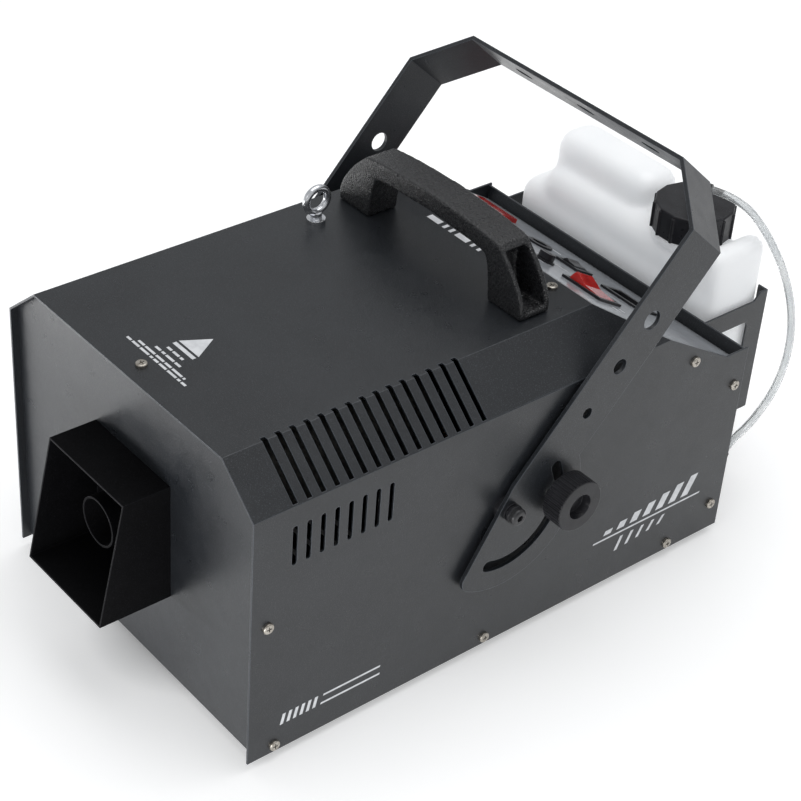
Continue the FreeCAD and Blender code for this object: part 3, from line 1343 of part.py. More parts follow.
# ---------------------------------------------------------------- build
def build():
    export("cover_shell", cover_shell())
    export("chassis_base", chassis_base())
    export("front_panel", front_panel())
    export("rear_panel", rear_panel())
    export("control_panel", control_panel())
    export("outlet_hood", outlet_hood())
    export("nozzle_shroud", nozzle_shroud())
    export("fog_nozzle", fog_nozzle())
    export("heater_block", heater_block())
    export("heater_jacket", heater_jacket())
    export("heater_terminals", Part.makeCompound(element_leads() + thermostats()))
    export("pump_coil", pump_coil())
    export("pump_barrel", pump_barrel())
    export("pump_plunger", pump_plunger())
    export("pump_spring", pump_spring())
    export("inner_brackets", Part.makeCompound(heater_straps() + [pump_cradle()]))
    export("pump_bushes", pump_bushes())
    export("circuit_boards", Part.makeCompound([circuit_board(), display_board()]))
    export("board_posts", Part.makeCompound(board_posts() + display_posts()))
    export("transformer", transformer())
    export("display_window", display_window(DISPLAY_PLACE))
    bezels = [rocker_bezel(place) for place in (POWER_PLACE, HEAT_PLACE)]
    export("rocker_bezels", Part.makeCompound(bezels))
    export("power_rocker", rocker_key(POWER_PLACE))
    export("fog_rocker", rocker_key(HEAT_PLACE))
    sockets = [xlr_shell(*place) for place in (XLR_OUT_PLACE, XLR_IN_PLACE)]
    export("signal_sockets", Part.makeCompound(sockets))
    contacts = [xlr_insert(*XLR_OUT_PLACE, pins=False), xlr_insert(*XLR_IN_PLACE, pins=True)]
    export("signal_contacts", Part.makeCompound(contacts))
    export("power_inlet", power_inlet())
    export("fuse_holder", fuse_body())
    export("fuse_cap", fuse_cap())
    for number, across in enumerate(BUTTON_ACROSS, start=1):
        export("menu_button_" + str(number), menu_button(across))
    export("carry_handle", carry_handle())
    export("handle_bolts", handle_bolts())
    export("eye_bolt", eye_bolt())
    export("panel_screws", Part.makeCompound(cover_screws() + hood_screws() + foot_screws()))
    export("rubber_feet", rubber_feet())
    export("yoke_bracket", yoke_bracket())
    export("pivot_spacers", pivot_group(pivot_spacer()))
    export("pivot_collars", pivot_group(pivot_collar()))
    export("pivot_bolts", pivot_group(pivot_bolt()))
    export("knob_washers", pivot_group(knob_washer()))
    nuts = both_sides(pivot_nut()) + both_sides(stud_nut()) + handle_nuts()
    export("hex_nuts", Part.makeCompound(nuts + [eye_nut(), elbow_nut()]))
    for side, knob, stud in zip(
        ("right", "left"), both_sides(lock_knob()), both_sides(knob_stud())
    ):
        export("lock_knob_" + side, knob)
        export("knob_stud_" + side, stud)
    export("tank_tray", tank_tray())
    export("tray_rivets", tray_rivets())
    export("fluid_tank", fluid_tank())
    export("tank_cap", tank_cap())
    export("cap_gasket", cap_gasket())
    export("cap_elbow", cap_elbow())
    export("dip_tube", dip_tube())
    export("filter_weight", filter_weight())
    export("hose_elbow", hose_elbow())
    for name, (shape, length, radii) in (
        ("fluid_hose", tube(HOSE_ROUTE, HOSE_R, HOSE_BORE_R)),
        ("pressure_line", pressure_line()),
        ("suction_line", suction_line()),
    ):
        outer, bore = (HOSE_R, HOSE_BORE_R) if name != "pressure_line" else (2.0, 1.2)
        expected = math.pi * (outer ** 2 - bore ** 2) * length
        print(name, "length", round(length, 1), "radii", [round(r, 1) for r in radii],
              "volume ratio", round(shape.Volume / expected, 4))
        export(name, shape)


build()
for name, solids, volume in made:
    print(name, solids, round(volume, 1))
print(len(made), "nodes")
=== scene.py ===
import json
import math

import bmesh
import bpy
from mathutils import Matrix, Vector


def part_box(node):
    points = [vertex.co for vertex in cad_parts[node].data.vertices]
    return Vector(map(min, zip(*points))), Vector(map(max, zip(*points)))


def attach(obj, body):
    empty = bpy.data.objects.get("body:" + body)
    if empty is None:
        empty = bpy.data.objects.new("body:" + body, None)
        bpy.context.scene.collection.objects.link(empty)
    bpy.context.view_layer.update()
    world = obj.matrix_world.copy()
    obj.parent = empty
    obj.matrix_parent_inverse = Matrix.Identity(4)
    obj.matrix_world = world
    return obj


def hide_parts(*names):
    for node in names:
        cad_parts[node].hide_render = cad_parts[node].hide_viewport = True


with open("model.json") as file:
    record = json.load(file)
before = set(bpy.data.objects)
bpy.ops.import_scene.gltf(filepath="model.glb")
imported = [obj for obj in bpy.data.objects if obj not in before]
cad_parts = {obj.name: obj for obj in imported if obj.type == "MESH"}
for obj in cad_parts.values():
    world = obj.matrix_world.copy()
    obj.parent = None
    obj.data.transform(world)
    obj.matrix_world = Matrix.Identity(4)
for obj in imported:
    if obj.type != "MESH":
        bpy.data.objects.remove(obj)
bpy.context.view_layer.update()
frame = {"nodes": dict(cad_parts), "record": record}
nodes = frame["nodes"]

MM = 0.001

# studio
FLOOR_REACH = 8.0             # metres from the middle to each side
FLOOR_GLOW = 0.34             # light given off by the open floor
FLOOR_SHADE = (0.115, 0.225)  # half width and half length of the dark floor under the box
SHADE_EDGE = (0.9, 1.15)      # where the dark ends and the full glow starts, times those
SKY_STRENGTH = 0.55
SOFTBOXES = (                 # name, place, target, size, power in watts
    ("softbox_above", (0.0, 0.2, 1.7), (0.0, 0.0, 0.1), (1.5, 1.5), 12.0),
    ("softbox_front", (0.3, -1.6, 1.1), (0.0, 0.25, 0.25), (0.8, 0.4), 1.0),
    ("softbox_low", (-0.42, -0.72, 0.03), (0.0, -0.25, 0.06), (0.6, 0.05), 2.4),
    ("softbox_corner", (0.34, -0.66, 0.05), (0.06, -0.22, 0.04), (0.5, 0.1), 1.3),
)

# materials
FLAT_COSINE = 0.995           # between the rounded and the true normal: no edge wear and no painted edge highlight
EDGE_COSINE = 0.90            # full edge wear, and on powder coat the full painted edge highlight
MIDDLE = (0.35, 0.65)         # span of noise that most of a surface has
BROAD = (0.3, 0.7)
SPECK_SPAN = (0.56, 0.72)     # noise above this is a pale speck
EDGE_WEAR_AND_HIGHLIGHT_GAIN = 6.0               # lighter powder-coat edges against the flat paint: partly worn paint, partly a painted edge highlight

# fluid tank, heights in millimetres over its foot
WELL_FLOOR = 143.6            # of the round seat under the cap
NECK_ROOT = 138.0             # sunk into the seat

# printed marks and the control panel
PRINT = 0.12 * MM             # thickness of a printed mark
SUNK = 0.02 * MM              # how far it starts below the paint
SLOPE = math.radians(31.0)    # of the control panel
PANEL_TOP = 312.0 * MM        # from the front edge of the cover to the panel's upper edge
PANEL_SUNK = -1.22 * MM       # panel face from the plane of the cover's edge


# ---------------------------------------------------------------- camera, floor and light
def aim_camera():
    """Camera above the front right corner, rolled a little about its own axis."""
    azimuth = math.radians(48.39)
    elevation = math.radians(35.51)
    roll = math.radians(4.39)
    distance = 1.531
    target = Vector((0.0004, 0.0048, 0.1241))
    level = Vector((math.cos(azimuth), math.sin(azimuth), 0.0))
    back = Vector((
        math.sin(azimuth) * math.cos(elevation),
        -math.cos(azimuth) * math.cos(elevation),
        math.sin(elevation),
    ))
    right = level * math.cos(roll) + back.cross(level) * math.sin(roll)
    turned = Matrix((right, back.cross(right), back)).transposed().to_4x4()
    data = bpy.data.cameras.new("camera")
    data.lens = 93.05
    data.sensor_width = 36.0
    camera = bpy.data.objects.new("camera", data)
    camera.matrix_world = Matrix.Translation(target + back * distance) @ turned
    bpy.context.scene.collection.objects.link(camera)
    bpy.context.scene.camera = camera


def area_light(name, place, target, size, power):
    data = bpy.data.lights.new(name, "AREA")
    data.shape = "RECTANGLE"
    data.size, data.size_y = size
    data.energy = power
    light = bpy.data.objects.new(name, data)
    light.location = place
    light.rotation_mode = "QUATERNION"
    light.rotation_quaternion = (Vector(target) - Vector(place)).to_track_quat("-Z", "Y")
    bpy.context.scene.collection.objects.link(light)


def set_stage():
    """Pale floor that glows except under the machine, white surroundings, soft boxes."""
    bm = bmesh.new()
    bmesh.ops.create_grid(bm, x_segments=1, y_segments=1, size=FLOOR_REACH)
    floor = new_piece("studio_floor", bm)
    look = Look("studio_floor").set(
        Base_Color=(0.9, 0.9, 0.9, 1.0), Roughness=0.9, Specular_IOR_Level=0.1,
        Emission_Color=(1.0, 1.0, 1.0, 1.0),
    )
    ellipse = look.add("ShaderNodeVectorMath")
    ellipse.operation = "MULTIPLY"
    ellipse.inputs[1].default_value = (1.0 / FLOOR_SHADE[0], 1.0 / FLOOR_SHADE[1], 0.0)
    look.link(look.place, ellipse.inputs[0])
    reach = look.add("ShaderNodeVectorMath")
    reach.operation = "LENGTH"
    look.link(ellipse.outputs["Vector"], reach.inputs[0])
    glow = look.ramp(reach.outputs["Value"], *SHADE_EDGE, 0.0, FLOOR_GLOW)
    look.link(glow, look.shader.inputs["Emission Strength"])
    floor.data.materials.append(look.material)
    world = bpy.data.worlds.new("studio")
    world.use_nodes = True
    sky = world.node_tree.nodes["Background"]
    sky.inputs["Color"].default_value = (0.96, 0.98, 1.0, 1.0)
    sky.inputs["Strength"].default_value = SKY_STRENGTH
    bpy.context.scene.world = world
    for softbox in SOFTBOXES:
        area_light(*softbox)
    bpy.context.scene.view_settings.view_transform = "Standard"


# ---------------------------------------------------------------- mesh helpers
def new_piece(name, bm):
    """Object of that name from the finished mesh in bm."""
    mesh = bpy.data.meshes.new(name)
    bm.to_mesh(mesh)
    bm.free()
    piece = bpy.data.objects.new(name, mesh)
    bpy.context.scene.collection.objects.link(piece)
    return piece


def apply_modifiers(piece):
    """Keeps what the modifiers make as the piece's own mesh."""
    graph = bpy.context.evaluated_depsgraph_get()
    mesh = bpy.data.meshes.new_from_object(piece.evaluated_get(graph))
    old = piece.data
    piece.modifiers.clear()
    piece.data = mesh
    bpy.data.meshes.remove(old)
    piece.data.name = piece.name


def extrude_outline(bm, corners, depth):
    """Closed slab from a flat outline of points, pushed along the vector depth."""
    bottom = [bm.verts.new(c) for c in corners]
    top = [bm.verts.new(Vector(c) + depth) for c in corners]
    faces = [bm.faces.new(bottom[::-1]), bm.faces.new(top)]
    count = len(corners)
    for i in range(count):
        j = (i + 1) % count
        faces.append(bm.faces.new((bottom[i], bottom[j], top[j], top[i])))
    bmesh.ops.recalc_face_normals(bm, faces=faces)


def block(bm, low, high):
    """Closed box between two corners; returns its edges."""
    made = bmesh.ops.create_cube(bm, size=1.0)
    for vert in made["verts"]:
        for axis in range(3):
            middle = (low[axis] + high[axis]) / 2.0
            vert.co[axis] = middle + vert.co[axis] * (high[axis] - low[axis])
    return list({edge for vert in made["verts"] for edge in vert.link_edges})


def round_edges(bm, edges, radius, steps):
    bmesh.ops.bevel(
        bm, geom=edges, offset=radius, segments=steps, profile=0.5, affect="EDGES",
        clamp_overlap=False,
    )


def fuse_and_soften(piece, voxel, rounds, factor):
    """Joins the closed shapes of a piece into one skin and rounds its corners."""
    remesh = piece.modifiers.new("fuse", "REMESH")
    remesh.mode = "VOXEL"
    remesh.voxel_size = voxel
    soften = piece.modifiers.new("soften", "SMOOTH")
    soften.factor = factor
    soften.iterations = rounds
    apply_modifiers(piece)
    piece.data.shade_smooth()


def cut(piece, tool_bm):
    """Takes the closed shapes of tool_bm out of the piece."""
    tool = new_piece("tool", tool_bm)
    boolean = piece.modifiers.new("cut", "BOOLEAN")
    boolean.operation = "DIFFERENCE"
    boolean.solver = "EXACT"
    boolean.object = tool
    apply_modifiers(piece)
    bpy.data.objects.remove(tool)


# ---------------------------------------------------------------- materials
class Look:
    """Node graph of one material, built a step at a time."""

    def __init__(self, name):
        self.material = bpy.data.materials.new(name)
        self.material.use_nodes = True
        self.tree = self.material.node_tree
        self.shader = self.tree.nodes["Principled BSDF"]
        self.place = self.add("ShaderNodeTexCoord").outputs["Object"]

    def add(self, kind):
        return self.tree.nodes.new(kind)

    def link(self, output, socket):
        self.tree.links.new(output, socket)

    def set(self, **values):
        for key, value in values.items():
            self.shader.inputs[key.replace("_", " ")].default_value = value
        return self

    def noise(self, cell, detail):
        """Noise with cells of that size in millimetres."""
        texture = self.add("ShaderNodeTexNoise")
        texture.inputs["Scale"].default_value = 1.0 / (cell * MM)
        texture.inputs["Detail"].default_value = detail
        self.link(self.place, texture.inputs["Vector"])
        return texture.outputs["Fac"]

    def cells(self, size):
        """Distance to the middle of the nearest cell; size in millimetres."""
        texture = self.add("ShaderNodeTexVoronoi")
        texture.inputs["Scale"].default_value = 1.0 / (size * MM)
        self.link(self.place, texture.inputs["Vector"])
        return texture.outputs["Distance"]

    def ramp(self, value, low, high, to_low=0.0, to_high=1.0):
        """value from low..high, stretched to to_low..to_high."""
        step = self.add("ShaderNodeMapRange")
        for key, number in (
            ("From Min", low), ("From Max", high), ("To Min", to_low), ("To Max", to_high),
        ):
            step.inputs[key].default_value = number
        self.link(value, step.inputs["Value"])
        return step.outputs["Result"]

    def mix(self, factor, first, second):
        """Colour between first and second; each is a colour or a socket."""
        step = self.add("ShaderNodeMix")
        step.data_type = "RGBA"
        self.link(factor, step.inputs[0])
        for socket, colour in ((step.inputs[6], first), (step.inputs[7], second)):
            if isinstance(colour, tuple):
                socket.default_value = (*colour, 1.0)
            else:
                self.link(colour, socket)
        return step.outputs[2]

    def soft_normal(self, radius):
        """Normal rounded over nearby edges, radius in millimetres."""
        bevel = self.add("ShaderNodeBevel")
        bevel.samples = 6
        bevel.inputs["Radius"].default_value = radius * MM
        return bevel.outputs["Normal"]

    def edge_wear_and_highlight(self, normal):
        """1 on edges and 0 on flats, from the rounded and the true normal."""
        true = self.add("ShaderNodeNewGeometry").outputs["True Normal"]
        dot = self.add("ShaderNodeVectorMath")
        dot.operation = "DOT_PRODUCT"
        self.link(normal, dot.inputs[0])
        self.link(true, dot.inputs[1])
        return self.ramp(dot.outputs["Value"], FLAT_COSINE, EDGE_COSINE)

    def bump(self, height, depth, normal=None):
        """Relief of that depth in millimetres."""
        step = self.add("ShaderNodeBump")
        step.inputs["Strength"].default_value = 1.0
        step.inputs["Distance"].default_value = depth * MM
        self.link(height, step.inputs["Height"])
        if normal is not None:
            self.link(normal, step.inputs["Normal"])
        return step.outputs["Normal"]

    def colour(self, socket):
        self.link(socket, self.shader.inputs["Base Color"])
        return self

    def roughness(self, socket):
        self.link(socket, self.shader.inputs["Roughness"])
        return self

    def normal(self, socket):
        self.link(socket, self.shader.inputs["Normal"])
        return self


def plain_finish(name, dark, light, rough, patch, grain=0.8, depth=0.02, edge=0.4,
                 worn=None, metallic=0.0):
    """Patchy colour and roughness, fine grain in relief, edges rounded and worn.

    rough is the span of roughness; patch, grain, depth and edge are in millimetres.
    """
    look = Look(name).set(Metallic=metallic)
    rounded = look.soft_normal(edge)
    colour = look.mix(look.ramp(look.noise(patch, 4.0), *MIDDLE), dark, light)
    if worn is not None:
        wear = look.edge_wear_and_highlight(rounded)
        colour = look.mix(wear, colour, worn)
    look.colour(colour)
    look.roughness(look.ramp(look.noise(patch / 3.0, 5.0), *BROAD, *rough))
    return look.normal(look.bump(look.noise(grain, 3.0), depth, rounded))


def powder_coat(name, dark, light, speck, rough):
    """Fine-textured black paint: tiny bumps, pale specks, and lighter edges that are partly
    worn paint and partly a painted edge highlight.
    """
    look = Look(name)
    rounded = look.soft_normal(0.7)
    body = look.mix(look.ramp(look.noise(60.0, 3.0), *MIDDLE), dark, light)
    grain = 0.7
    body = look.mix(look.ramp(look.noise(grain, 2.0), *SPECK_SPAN), body, speck)
    # edges painted lighter: partly worn paint, partly a painted highlight along the edges
    body = look.mix(look.edge_wear_and_highlight(rounded), body, tuple(EDGE_WEAR_AND_HIGHLIGHT_GAIN * c for c in light))
    look.colour(body)
    look.roughness(look.ramp(look.noise(14.0, 4.0), *BROAD, *rough))
    fine = look.bump(look.noise(grain, 2.0), 0.13, rounded)
    return look.normal(look.bump(look.noise(7.0, 2.0), 0.03, fine))


def leather_grain(name):
    """Coarse moulded grain of the carrying handle."""
    look = Look(name)
    pebble = 1.3
    grain = look.ramp(look.cells(pebble), 0.0, 0.8)
    look.colour(look.mix(grain, (0.022, 0.023, 0.025), (0.006, 0.006, 0.007)))
    look.roughness(look.ramp(look.noise(6.0, 3.0), *BROAD, 0.20, 0.34))
    pits = look.bump(look.cells(pebble), 0.45)
    return look.normal(look.bump(look.noise(0.9, 3.0), 0.22, pits))


def make_looks():
    """One material for each slot of the record, and two more: hood paint and print."""
    looks = {
        "black_powder": powder_coat(
            "black_powder", dark=(0.011, 0.0125, 0.015), light=(0.015, 0.017, 0.020),
            speck=(0.050, 0.054, 0.062), rough=(0.27, 0.36),
        ),
        "inner_steel": plain_finish(
            "inner_steel", dark=(0.50, 0.51, 0.52), light=(0.64, 0.65, 0.66), rough=(0.3, 0.45),
            patch=18.0, metallic=1.0,
        ),
        "nickel": plain_finish(
            "nickel", dark=(0.34, 0.31, 0.27), light=(0.52, 0.49, 0.44), rough=(0.24, 0.42),
            patch=3.0, grain=0.3, depth=0.01, edge=0.2, worn=(0.7, 0.68, 0.64), metallic=1.0,
        ),
        "zinc": plain_finish(
            "zinc", dark=(0.62, 0.63, 0.66), light=(0.78, 0.79, 0.81), rough=(0.16, 0.3),
            patch=8.0, grain=0.9, depth=0.02, edge=0.4, worn=(0.9, 0.9, 0.9), metallic=1.0,
        ),
        "black_oxide": plain_finish(
            "black_oxide", dark=(0.022, 0.022, 0.024), light=(0.04, 0.04, 0.042),
            rough=(0.28, 0.4), patch=5.0, grain=0.4, depth=0.01, edge=0.4,
            worn=(0.14, 0.14, 0.15), metallic=0.3,
        ),
        "panel_grey": plain_finish(
            "panel_grey", dark=(0.34, 0.355, 0.38), light=(0.40, 0.42, 0.445),
            rough=(0.14, 0.22), patch=40.0, grain=1.5, depth=0.006, edge=0.4,
            worn=(0.5, 0.5, 0.5),
        ),
        "black_plastic": plain_finish(
            "black_plastic", dark=(0.011, 0.011, 0.013), light=(0.019, 0.019, 0.022),
            rough=(0.26, 0.38), patch=10.0, grain=0.7, depth=0.02, edge=0.5,
            worn=(0.05, 0.05, 0.055),
        ).set(
            Specular_IOR_Level=0.28,
        ),
        "hood_black": powder_coat(
            "hood_black", dark=(0.001, 0.001, 0.0015), light=(0.0025, 0.0025, 0.003),
            speck=(0.010, 0.010, 0.012), rough=(0.6, 0.72),
        ).set(
            Specular_IOR_Level=0.1,
        ),
        "print_white": plain_finish(
            "print_white", dark=(0.60, 0.61, 0.63), light=(0.72, 0.73, 0.75), rough=(0.4, 0.55),
            patch=6.0, grain=0.6, depth=0.006, edge=0.05,
        ),
        "handle_plastic": leather_grain("handle_plastic"),
        "red_key": plain_finish(
            "red_key", dark=(0.55, 0.012, 0.010), light=(0.78, 0.03, 0.022), rough=(0.1, 0.18),
            patch=9.0, grain=1.4, depth=0.01, edge=0.3, worn=(0.9, 0.12, 0.1),
        ).set(
            Transmission_Weight=0.25, Coat_Weight=0.5,
        ),
        "red_window": plain_finish(
            "red_window", dark=(0.42, 0.01, 0.008), light=(0.6, 0.02, 0.015), rough=(0.05, 0.1),
            patch=12.0, grain=2.0, depth=0.004, edge=0.3, worn=(0.8, 0.1, 0.1),
        ).set(
            Transmission_Weight=0.3,
        ),
        "milky": plain_finish(
            "milky", dark=(0.82, 0.83, 0.84), light=(0.86, 0.865, 0.87), rough=(0.28, 0.38),
            patch=45.0, grain=2.5, depth=0.02, edge=0.8,
        ).set(
            Subsurface_Weight=0.5, Subsurface_Scale=0.03, Subsurface_Radius=(1.0, 1.0, 1.0),
            # painted glow: the tank gives off light of its own in place of light shining
            # through its milky wall
            Emission_Strength=0.16, Emission_Color=(0.95, 0.97, 1.0, 1.0),
        ),
        "clear_hose": plain_finish(
            "clear_hose", dark=(0.88, 0.90, 0.91), light=(0.97, 0.98, 0.98), rough=(0.05, 0.16),
            patch=20.0, grain=6.0, depth=0.004, edge=0.2,
        ).set(
            Transmission_Weight=0.8, IOR=1.4,
        ),
        "cast_alu": plain_finish(
            "cast_alu", dark=(0.5, 0.5, 0.5), light=(0.66, 0.66, 0.67), rough=(0.45, 0.6),
            patch=12.0, grain=1.2, depth=0.08, edge=0.5, metallic=1.0,
        ),
        "fibre": plain_finish(
            "fibre", dark=(0.14, 0.13, 0.12), light=(0.24, 0.23, 0.21), rough=(0.8, 0.95),
            patch=8.0, grain=1.0, depth=0.3,
        ),
        "brass": plain_finish(
            "brass", dark=(0.55, 0.38, 0.16), light=(0.72, 0.54, 0.26), rough=(0.22, 0.36),
            patch=6.0, grain=0.4, depth=0.01, edge=0.3, metallic=1.0,
        ),
        "copper": plain_finish(
            "copper", dark=(0.55, 0.27, 0.16), light=(0.72, 0.40, 0.26), rough=(0.22, 0.38),
            patch=9.0, grain=0.5, depth=0.01, edge=0.2, metallic=1.0,
        ),
        "rubber": plain_finish(
            "rubber", dark=(0.012, 0.012, 0.012), light=(0.024, 0.024, 0.024),
            rough=(0.65, 0.85), patch=9.0, grain=0.5, depth=0.04,
        ),
        "board_green": plain_finish(
            "board_green", dark=(0.02, 0.13, 0.05), light=(0.03, 0.20, 0.08), rough=(0.3, 0.45),
            patch=7.0, grain=0.8, depth=0.02,
        ),
        "white_plastic": plain_finish(
            "white_plastic", dark=(0.74, 0.73, 0.70), light=(0.82, 0.81, 0.79),
            rough=(0.35, 0.5), patch=15.0, grain=0.6, depth=0.02,
        ),
    }
    return {slot: look.material for slot, look in looks.items()}


def paint(piece, material):
    """The material in every slot of the piece, or as its first one."""
    if not piece.data.materials:
        piece.data.materials.append(material)
    for i in range(len(piece.data.materials)):
        piece.data.materials[i] = material


def paint_frame():
    for part in frame["record"]["subparts"]:
        paint(nodes[part["node"]], looks[part["material_slot"]])
    for name in ("outlet_hood", "nozzle_shroud"):
        paint(nodes[name], looks["hood_black"])


# ---------------------------------------------------------------- pieces
def clear_hose():
    """Hollow hose in one arch from the cap's elbow down to the elbow on the rear wall."""
    route = [
        (0.0519, 0.2555, 0.2498), (0.0750, 0.2634, 0.2505), (0.0980, 0.2730, 0.2295),
        (0.1230, 0.2770, 0.1975), (0.1410, 0.2710, 0.1615), (0.1480, 0.2560, 0.1255),
        (0.1440, 0.2370, 0.0945), (0.1345, 0.2285, 0.0755), (0.1310, 0.2275, 0.0625),
    ]
    curve = bpy.data.curves.new("clear_hose", "CURVE")
    curve.dimensions = "3D"
    curve.resolution_u = 16
    curve.bevel_depth = 3.0 * MM
    curve.bevel_resolution = 6
    spline = curve.splines.new("NURBS")
    spline.points.add(len(route) - 1)
    for point, place in zip(spline.points, route):
        point.co = (*place, 1.0)
    spline.order_u = 3
    spline.use_endpoint_u = True
    hose = bpy.data.objects.new("clear_hose", curve)
    bpy.context.scene.collection.objects.link(hose)
    wall = hose.modifiers.new("wall", "SOLIDIFY")
    wall.thickness = 1.0 * MM
    wall.offset = -1.0
    curve.materials.append(looks["clear_hose"])
    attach(hose, "housing")
    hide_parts("fluid_hose")


def settle(piece, body, slot, *nodes):
    """Paints a new piece, lets it ride on a body and hides the nodes it stands for."""
    paint(piece, looks[slot])
    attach(piece, body)
    if nodes:
        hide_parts(*nodes)


def round_post(bm, centre, base, lower, upper, bottom, top):
    """Closed round post of two radii; radii and heights over base in millimetres."""
    middle = base + (bottom + top) / 2.0 * MM
    bmesh.ops.create_cone(
        bm, cap_ends=True, segments=72, radius1=lower * MM, radius2=upper * MM,
        depth=(top - bottom) * MM, matrix=Matrix.Translation((*centre, middle)),
    )


def milky_tank():
    """Blow-moulded canister: soft blocks melted into one skin, a round seat for the cap."""
    low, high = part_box("fluid_tank")
    cap_low, cap_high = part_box("tank_cap")
    centre = ((cap_low[0] + cap_high[0]) / 2.0, (cap_low[1] + cap_high[1]) / 2.0)
    bm = bmesh.new()
    # left, right, front and top in millimetres from the canister's low corner; radius
    for left, right, front, top, radius in (
        (0.6, 217.0, 0.6, 126.5, 17.0), (19.0, 216.5, 3.5, 144.5, 20.0),
        (17.0, 125.0, 20.0, 170.2, 16.0), (197.0, 216.5, 6.0, 153.5, 8.5),
        (118.0, 150.0, 24.0, 151.0, 10.0),
    ):
        edges = block(
            bm, (low[0] + left * MM, low[1] + front * MM, low[2] + 0.6 * MM),
            (low[0] + right * MM, high[1] - 0.6 * MM, low[2] + top * MM),
        )
        round_edges(bm, edges, radius * MM, 6)
    tank = new_piece("milky_tank", bm)
    fuse_and_soften(tank, 1.8 * MM, 22, 0.6)
    well = bmesh.new()
    round_post(well, centre, low[2], 33.6, 35.5, WELL_FLOOR, WELL_FLOOR + 40.0)
    cut(tank, well)
    neck = bmesh.new()
    neck.from_mesh(tank.data)
    for radius, top in ((30.0, 144.8), (24.0, 162.0)):
        round_post(neck, centre, low[2], radius, radius, NECK_ROOT, top)
    neck.to_mesh(tank.data)
    neck.free()
    fuse_and_soften(tank, 1.2 * MM, 5, 0.5)
    settle(tank, "housing", "milky", "fluid_tank")


def smooth_line(points, steps):
    """Points on a smooth line through the given ones (Catmull-Rom)."""
    ends = [points[0]] + list(points) + [points[-1]]
    line = []
    for before, here, there, after in zip(ends, ends[1:], ends[2:], ends[3:]):
        for i in range(steps):
            t = i / steps
            line.append(tuple(
                0.5 * (2 * b + (c - a) * t + (2 * a - 5 * b + 4 * c - d) * t * t
                       + (3 * b - a - 3 * c + d) * t ** 3)
                for a, b, c, d in zip(before, here, there, after)
            ))
    return line + [points[-1]]


def carrying_strap():
    """Arched handle with flowing legs, soft edges and a pocket at each end."""
    low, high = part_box("carry_handle")
    middle = (low[1] + high[1]) / 2.0
    # outlines of the right half, (out, up) in millimetres from the middle of its foot
    crown = ((100.4, 0.1), (100.4, 9.5), (96.0, 20.5), (86.0, 34.0), (74.5, 45.2),
             (69.0, 47.8), (40.0, 50.8), (0.0, 52.4))
    under = ((66.0, 0.1), (64.5, 14.0), (61.0, 30.0), (52.0, 35.5), (0.0, 38.5))
    hollow = ((104.0, 5.0), (72.0, 5.0), (67.5, 20.0), (67.0, 35.0), (84.0, 50.0),
              (104.0, 46.0))
    half = smooth_line(crown, 6)
    inner = smooth_line(under, 6)
    outline = half + [(-x, z) for x, z in reversed(half[:-1])]
    outline += [(-x, z) for x, z in inner] + list(reversed(inner[:-1]))
    half_strap = 13.4 * MM
    half_pocket = 9.6 * MM
    bm = bmesh.new()
    corners = [(x * MM, middle - half_strap, low[2] + z * MM) for x, z in outline]
    extrude_outline(bm, corners, Vector((0.0, 2.0 * half_strap, 0.0)))
    strap = new_piece("carrying_strap", bm)
    pockets = bmesh.new()
    for side in (-1.0, 1.0):
        corners = [(side * x * MM, middle - half_pocket, low[2] + z * MM) for x, z in hollow]
        extrude_outline(pockets, corners, Vector((0.0, 2.0 * half_pocket, 0.0)))
    cut(strap, pockets)
    fuse_and_soften(strap, 0.9 * MM, 12, 0.5)
    settle(strap, "housing", "handle_plastic", "carry_handle")


def printed(name, shapes, depth):
    """One piece of thin closed slabs, each from its flat outline."""
    bm = bmesh.new()
    for corners in shapes:
        extrude_outline(bm, corners, depth)
    piece = new_piece(name, bm)
    settle(piece, "housing", "panel_grey")
    paint(piece, looks["print_white"])


def on_roof(outline):
    """Outline of (x, y) millimetres from the roof's front edge, on the flat top."""
    low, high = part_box("cover_shell")
    return [(x * MM, low[1] + y * MM, high[2] - SUNK) for x, y in outline]


def on_side(outline):
    """Outline of (y, z) millimetres from the front edge and the foot of the right wall."""
    low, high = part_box("cover_shell")
    return [(high[0] - SUNK, low[1] + y * MM, low[2] + z * MM) for y, z in outline]


def on_panel(outline):
    """Outline of (across, down) millimetres on the sloping control panel."""
    low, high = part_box("cover_shell")
    return [
        (x * MM,
         low[1] + PANEL_TOP + down * MM * math.cos(SLOPE) + PANEL_SUNK * math.sin(SLOPE),
         high[2] - down * MM * math.sin(SLOPE) + PANEL_SUNK * math.cos(SLOPE))
        for x, down in outline
    ]


def bar(x0, x1, y, thick):
    """Outline of a straight bar."""
    return [(x0, y), (x1, y), (x1, y + thick), (x0, y + thick)]


def dashes(x0, x1, y, thick, widths, gap):
    """A row of short bars that takes its widths in turn."""
    row = []
    at = x0
    turn = 0
    while at < x1 - gap:
        end = min(at + widths[turn % len(widths)], x1)
        row.append(bar(at, end, y, thick))
        at = end + gap
        turn += 1
    return row


def slanted(y, z, wide, tall, lean):
    """Outline of a bar whose top edge is pushed back by lean."""
    return [(y, z), (y + wide, z), (y + wide + lean, z + tall), (y + lean, z + tall)]


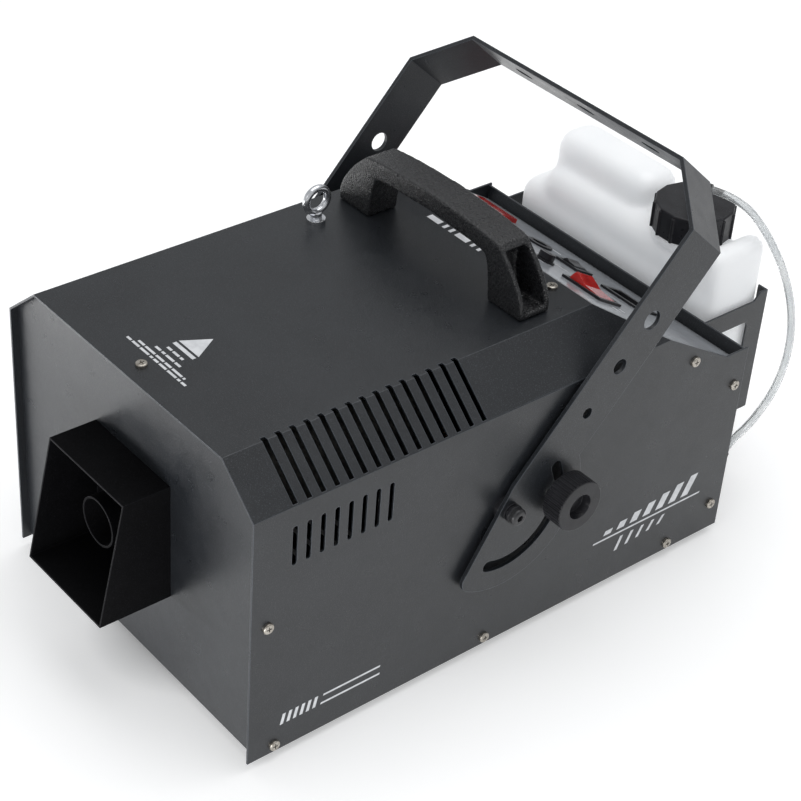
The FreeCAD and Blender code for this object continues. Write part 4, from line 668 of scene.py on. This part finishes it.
def roof_marks():
    """A triangle over rows of dashes, and one row of wider dashes behind the handle."""
    outlines = [[(-10.0, 50.0), (13.0, 50.0), (1.0, 70.0)]]
    for x0, x1, y, thick, widths in (
        (-10.0, 13.0, 45.0, 3.0, (23.0,)), (-8.0, 10.0, 38.8, 2.0, (5.0, 7.0)),
        (-13.0, 16.0, 32.8, 2.0, (6.0, 3.5, 9.0)), (-25.0, 29.0, 27.4, 1.9, (7.0, 11.0, 9.0)),
        (-33.0, 37.0, 23.7, 1.9, (5.0, 8.0, 10.0, 3.0)),
    ):
        outlines += dashes(x0, x1, y, thick, widths, 1.4)
    outlines += dashes(-44.0, 22.0, 291.0, 5.5, (13.0, 3.0, 3.0), 4.0)
    printed("roof_print", [on_roof(flat) for flat in outlines], Vector((0.0, 0.0, PRINT)))


def side_marks():
    """Rising stripes with a line through them behind the yoke, stripes at the front."""
    outlines = [slanted(311.0, 42.0, 112.0, 1.5, 0.6)]
    for i in range(7):
        outlines.append(slanted(321.0 + 13.5 * i, 46.5, 7.5, 4.0 + 2.2 * i, 2.0 + 1.1 * i))
    for i in range(5):
        outlines.append(slanted(335.0 + 11.0 * i, 26.0 + 1.2 * i, 3.0, 12.0 - 1.2 * i, 5.0))
    for i in range(6):
        outlines.append(slanted(26.0 + 5.4 * i, 22.0, 2.6, 9.0, 2.2))
    outlines += [slanted(60.0, 22.0, 51.0, 1.6, 0.4), slanted(62.0, 29.0, 49.0, 1.6, 0.4)]
    printed("side_print", [on_side(flat) for flat in outlines], Vector((PRINT, 0.0, 0.0)))


def panel_marks():
    """Short bars beside the switches, sockets and keys."""
    outlines = [bar(-1.0, 32.0, 65.0, 0.9)]
    for x0, x1, down in (
        (96.0, 104.0, 44.0), (96.0, 102.0, 52.0), (26.0, 34.0, 96.0), (26.0, 31.0, 102.0),
        (-44.0, -20.0, 116.0), (-118.0, -112.0, 70.0), (-104.0, -98.0, 70.0),
        (-91.0, -85.0, 70.0), (-78.0, -72.0, 70.0), (12.0, 26.0, 40.0), (45.0, 80.0, 124.0),
    ):
        outlines.append(bar(x0, x1, down, 1.5))
    up = Vector((0.0, math.sin(SLOPE), math.cos(SLOPE)))
    printed("panel_print", [on_panel(flat) for flat in outlines], up * PRINT)


looks = make_looks()
aim_camera()
set_stage()
paint_frame()
clear_hose()
milky_tank()
carrying_strap()
roof_marks()
side_marks()
panel_marks()
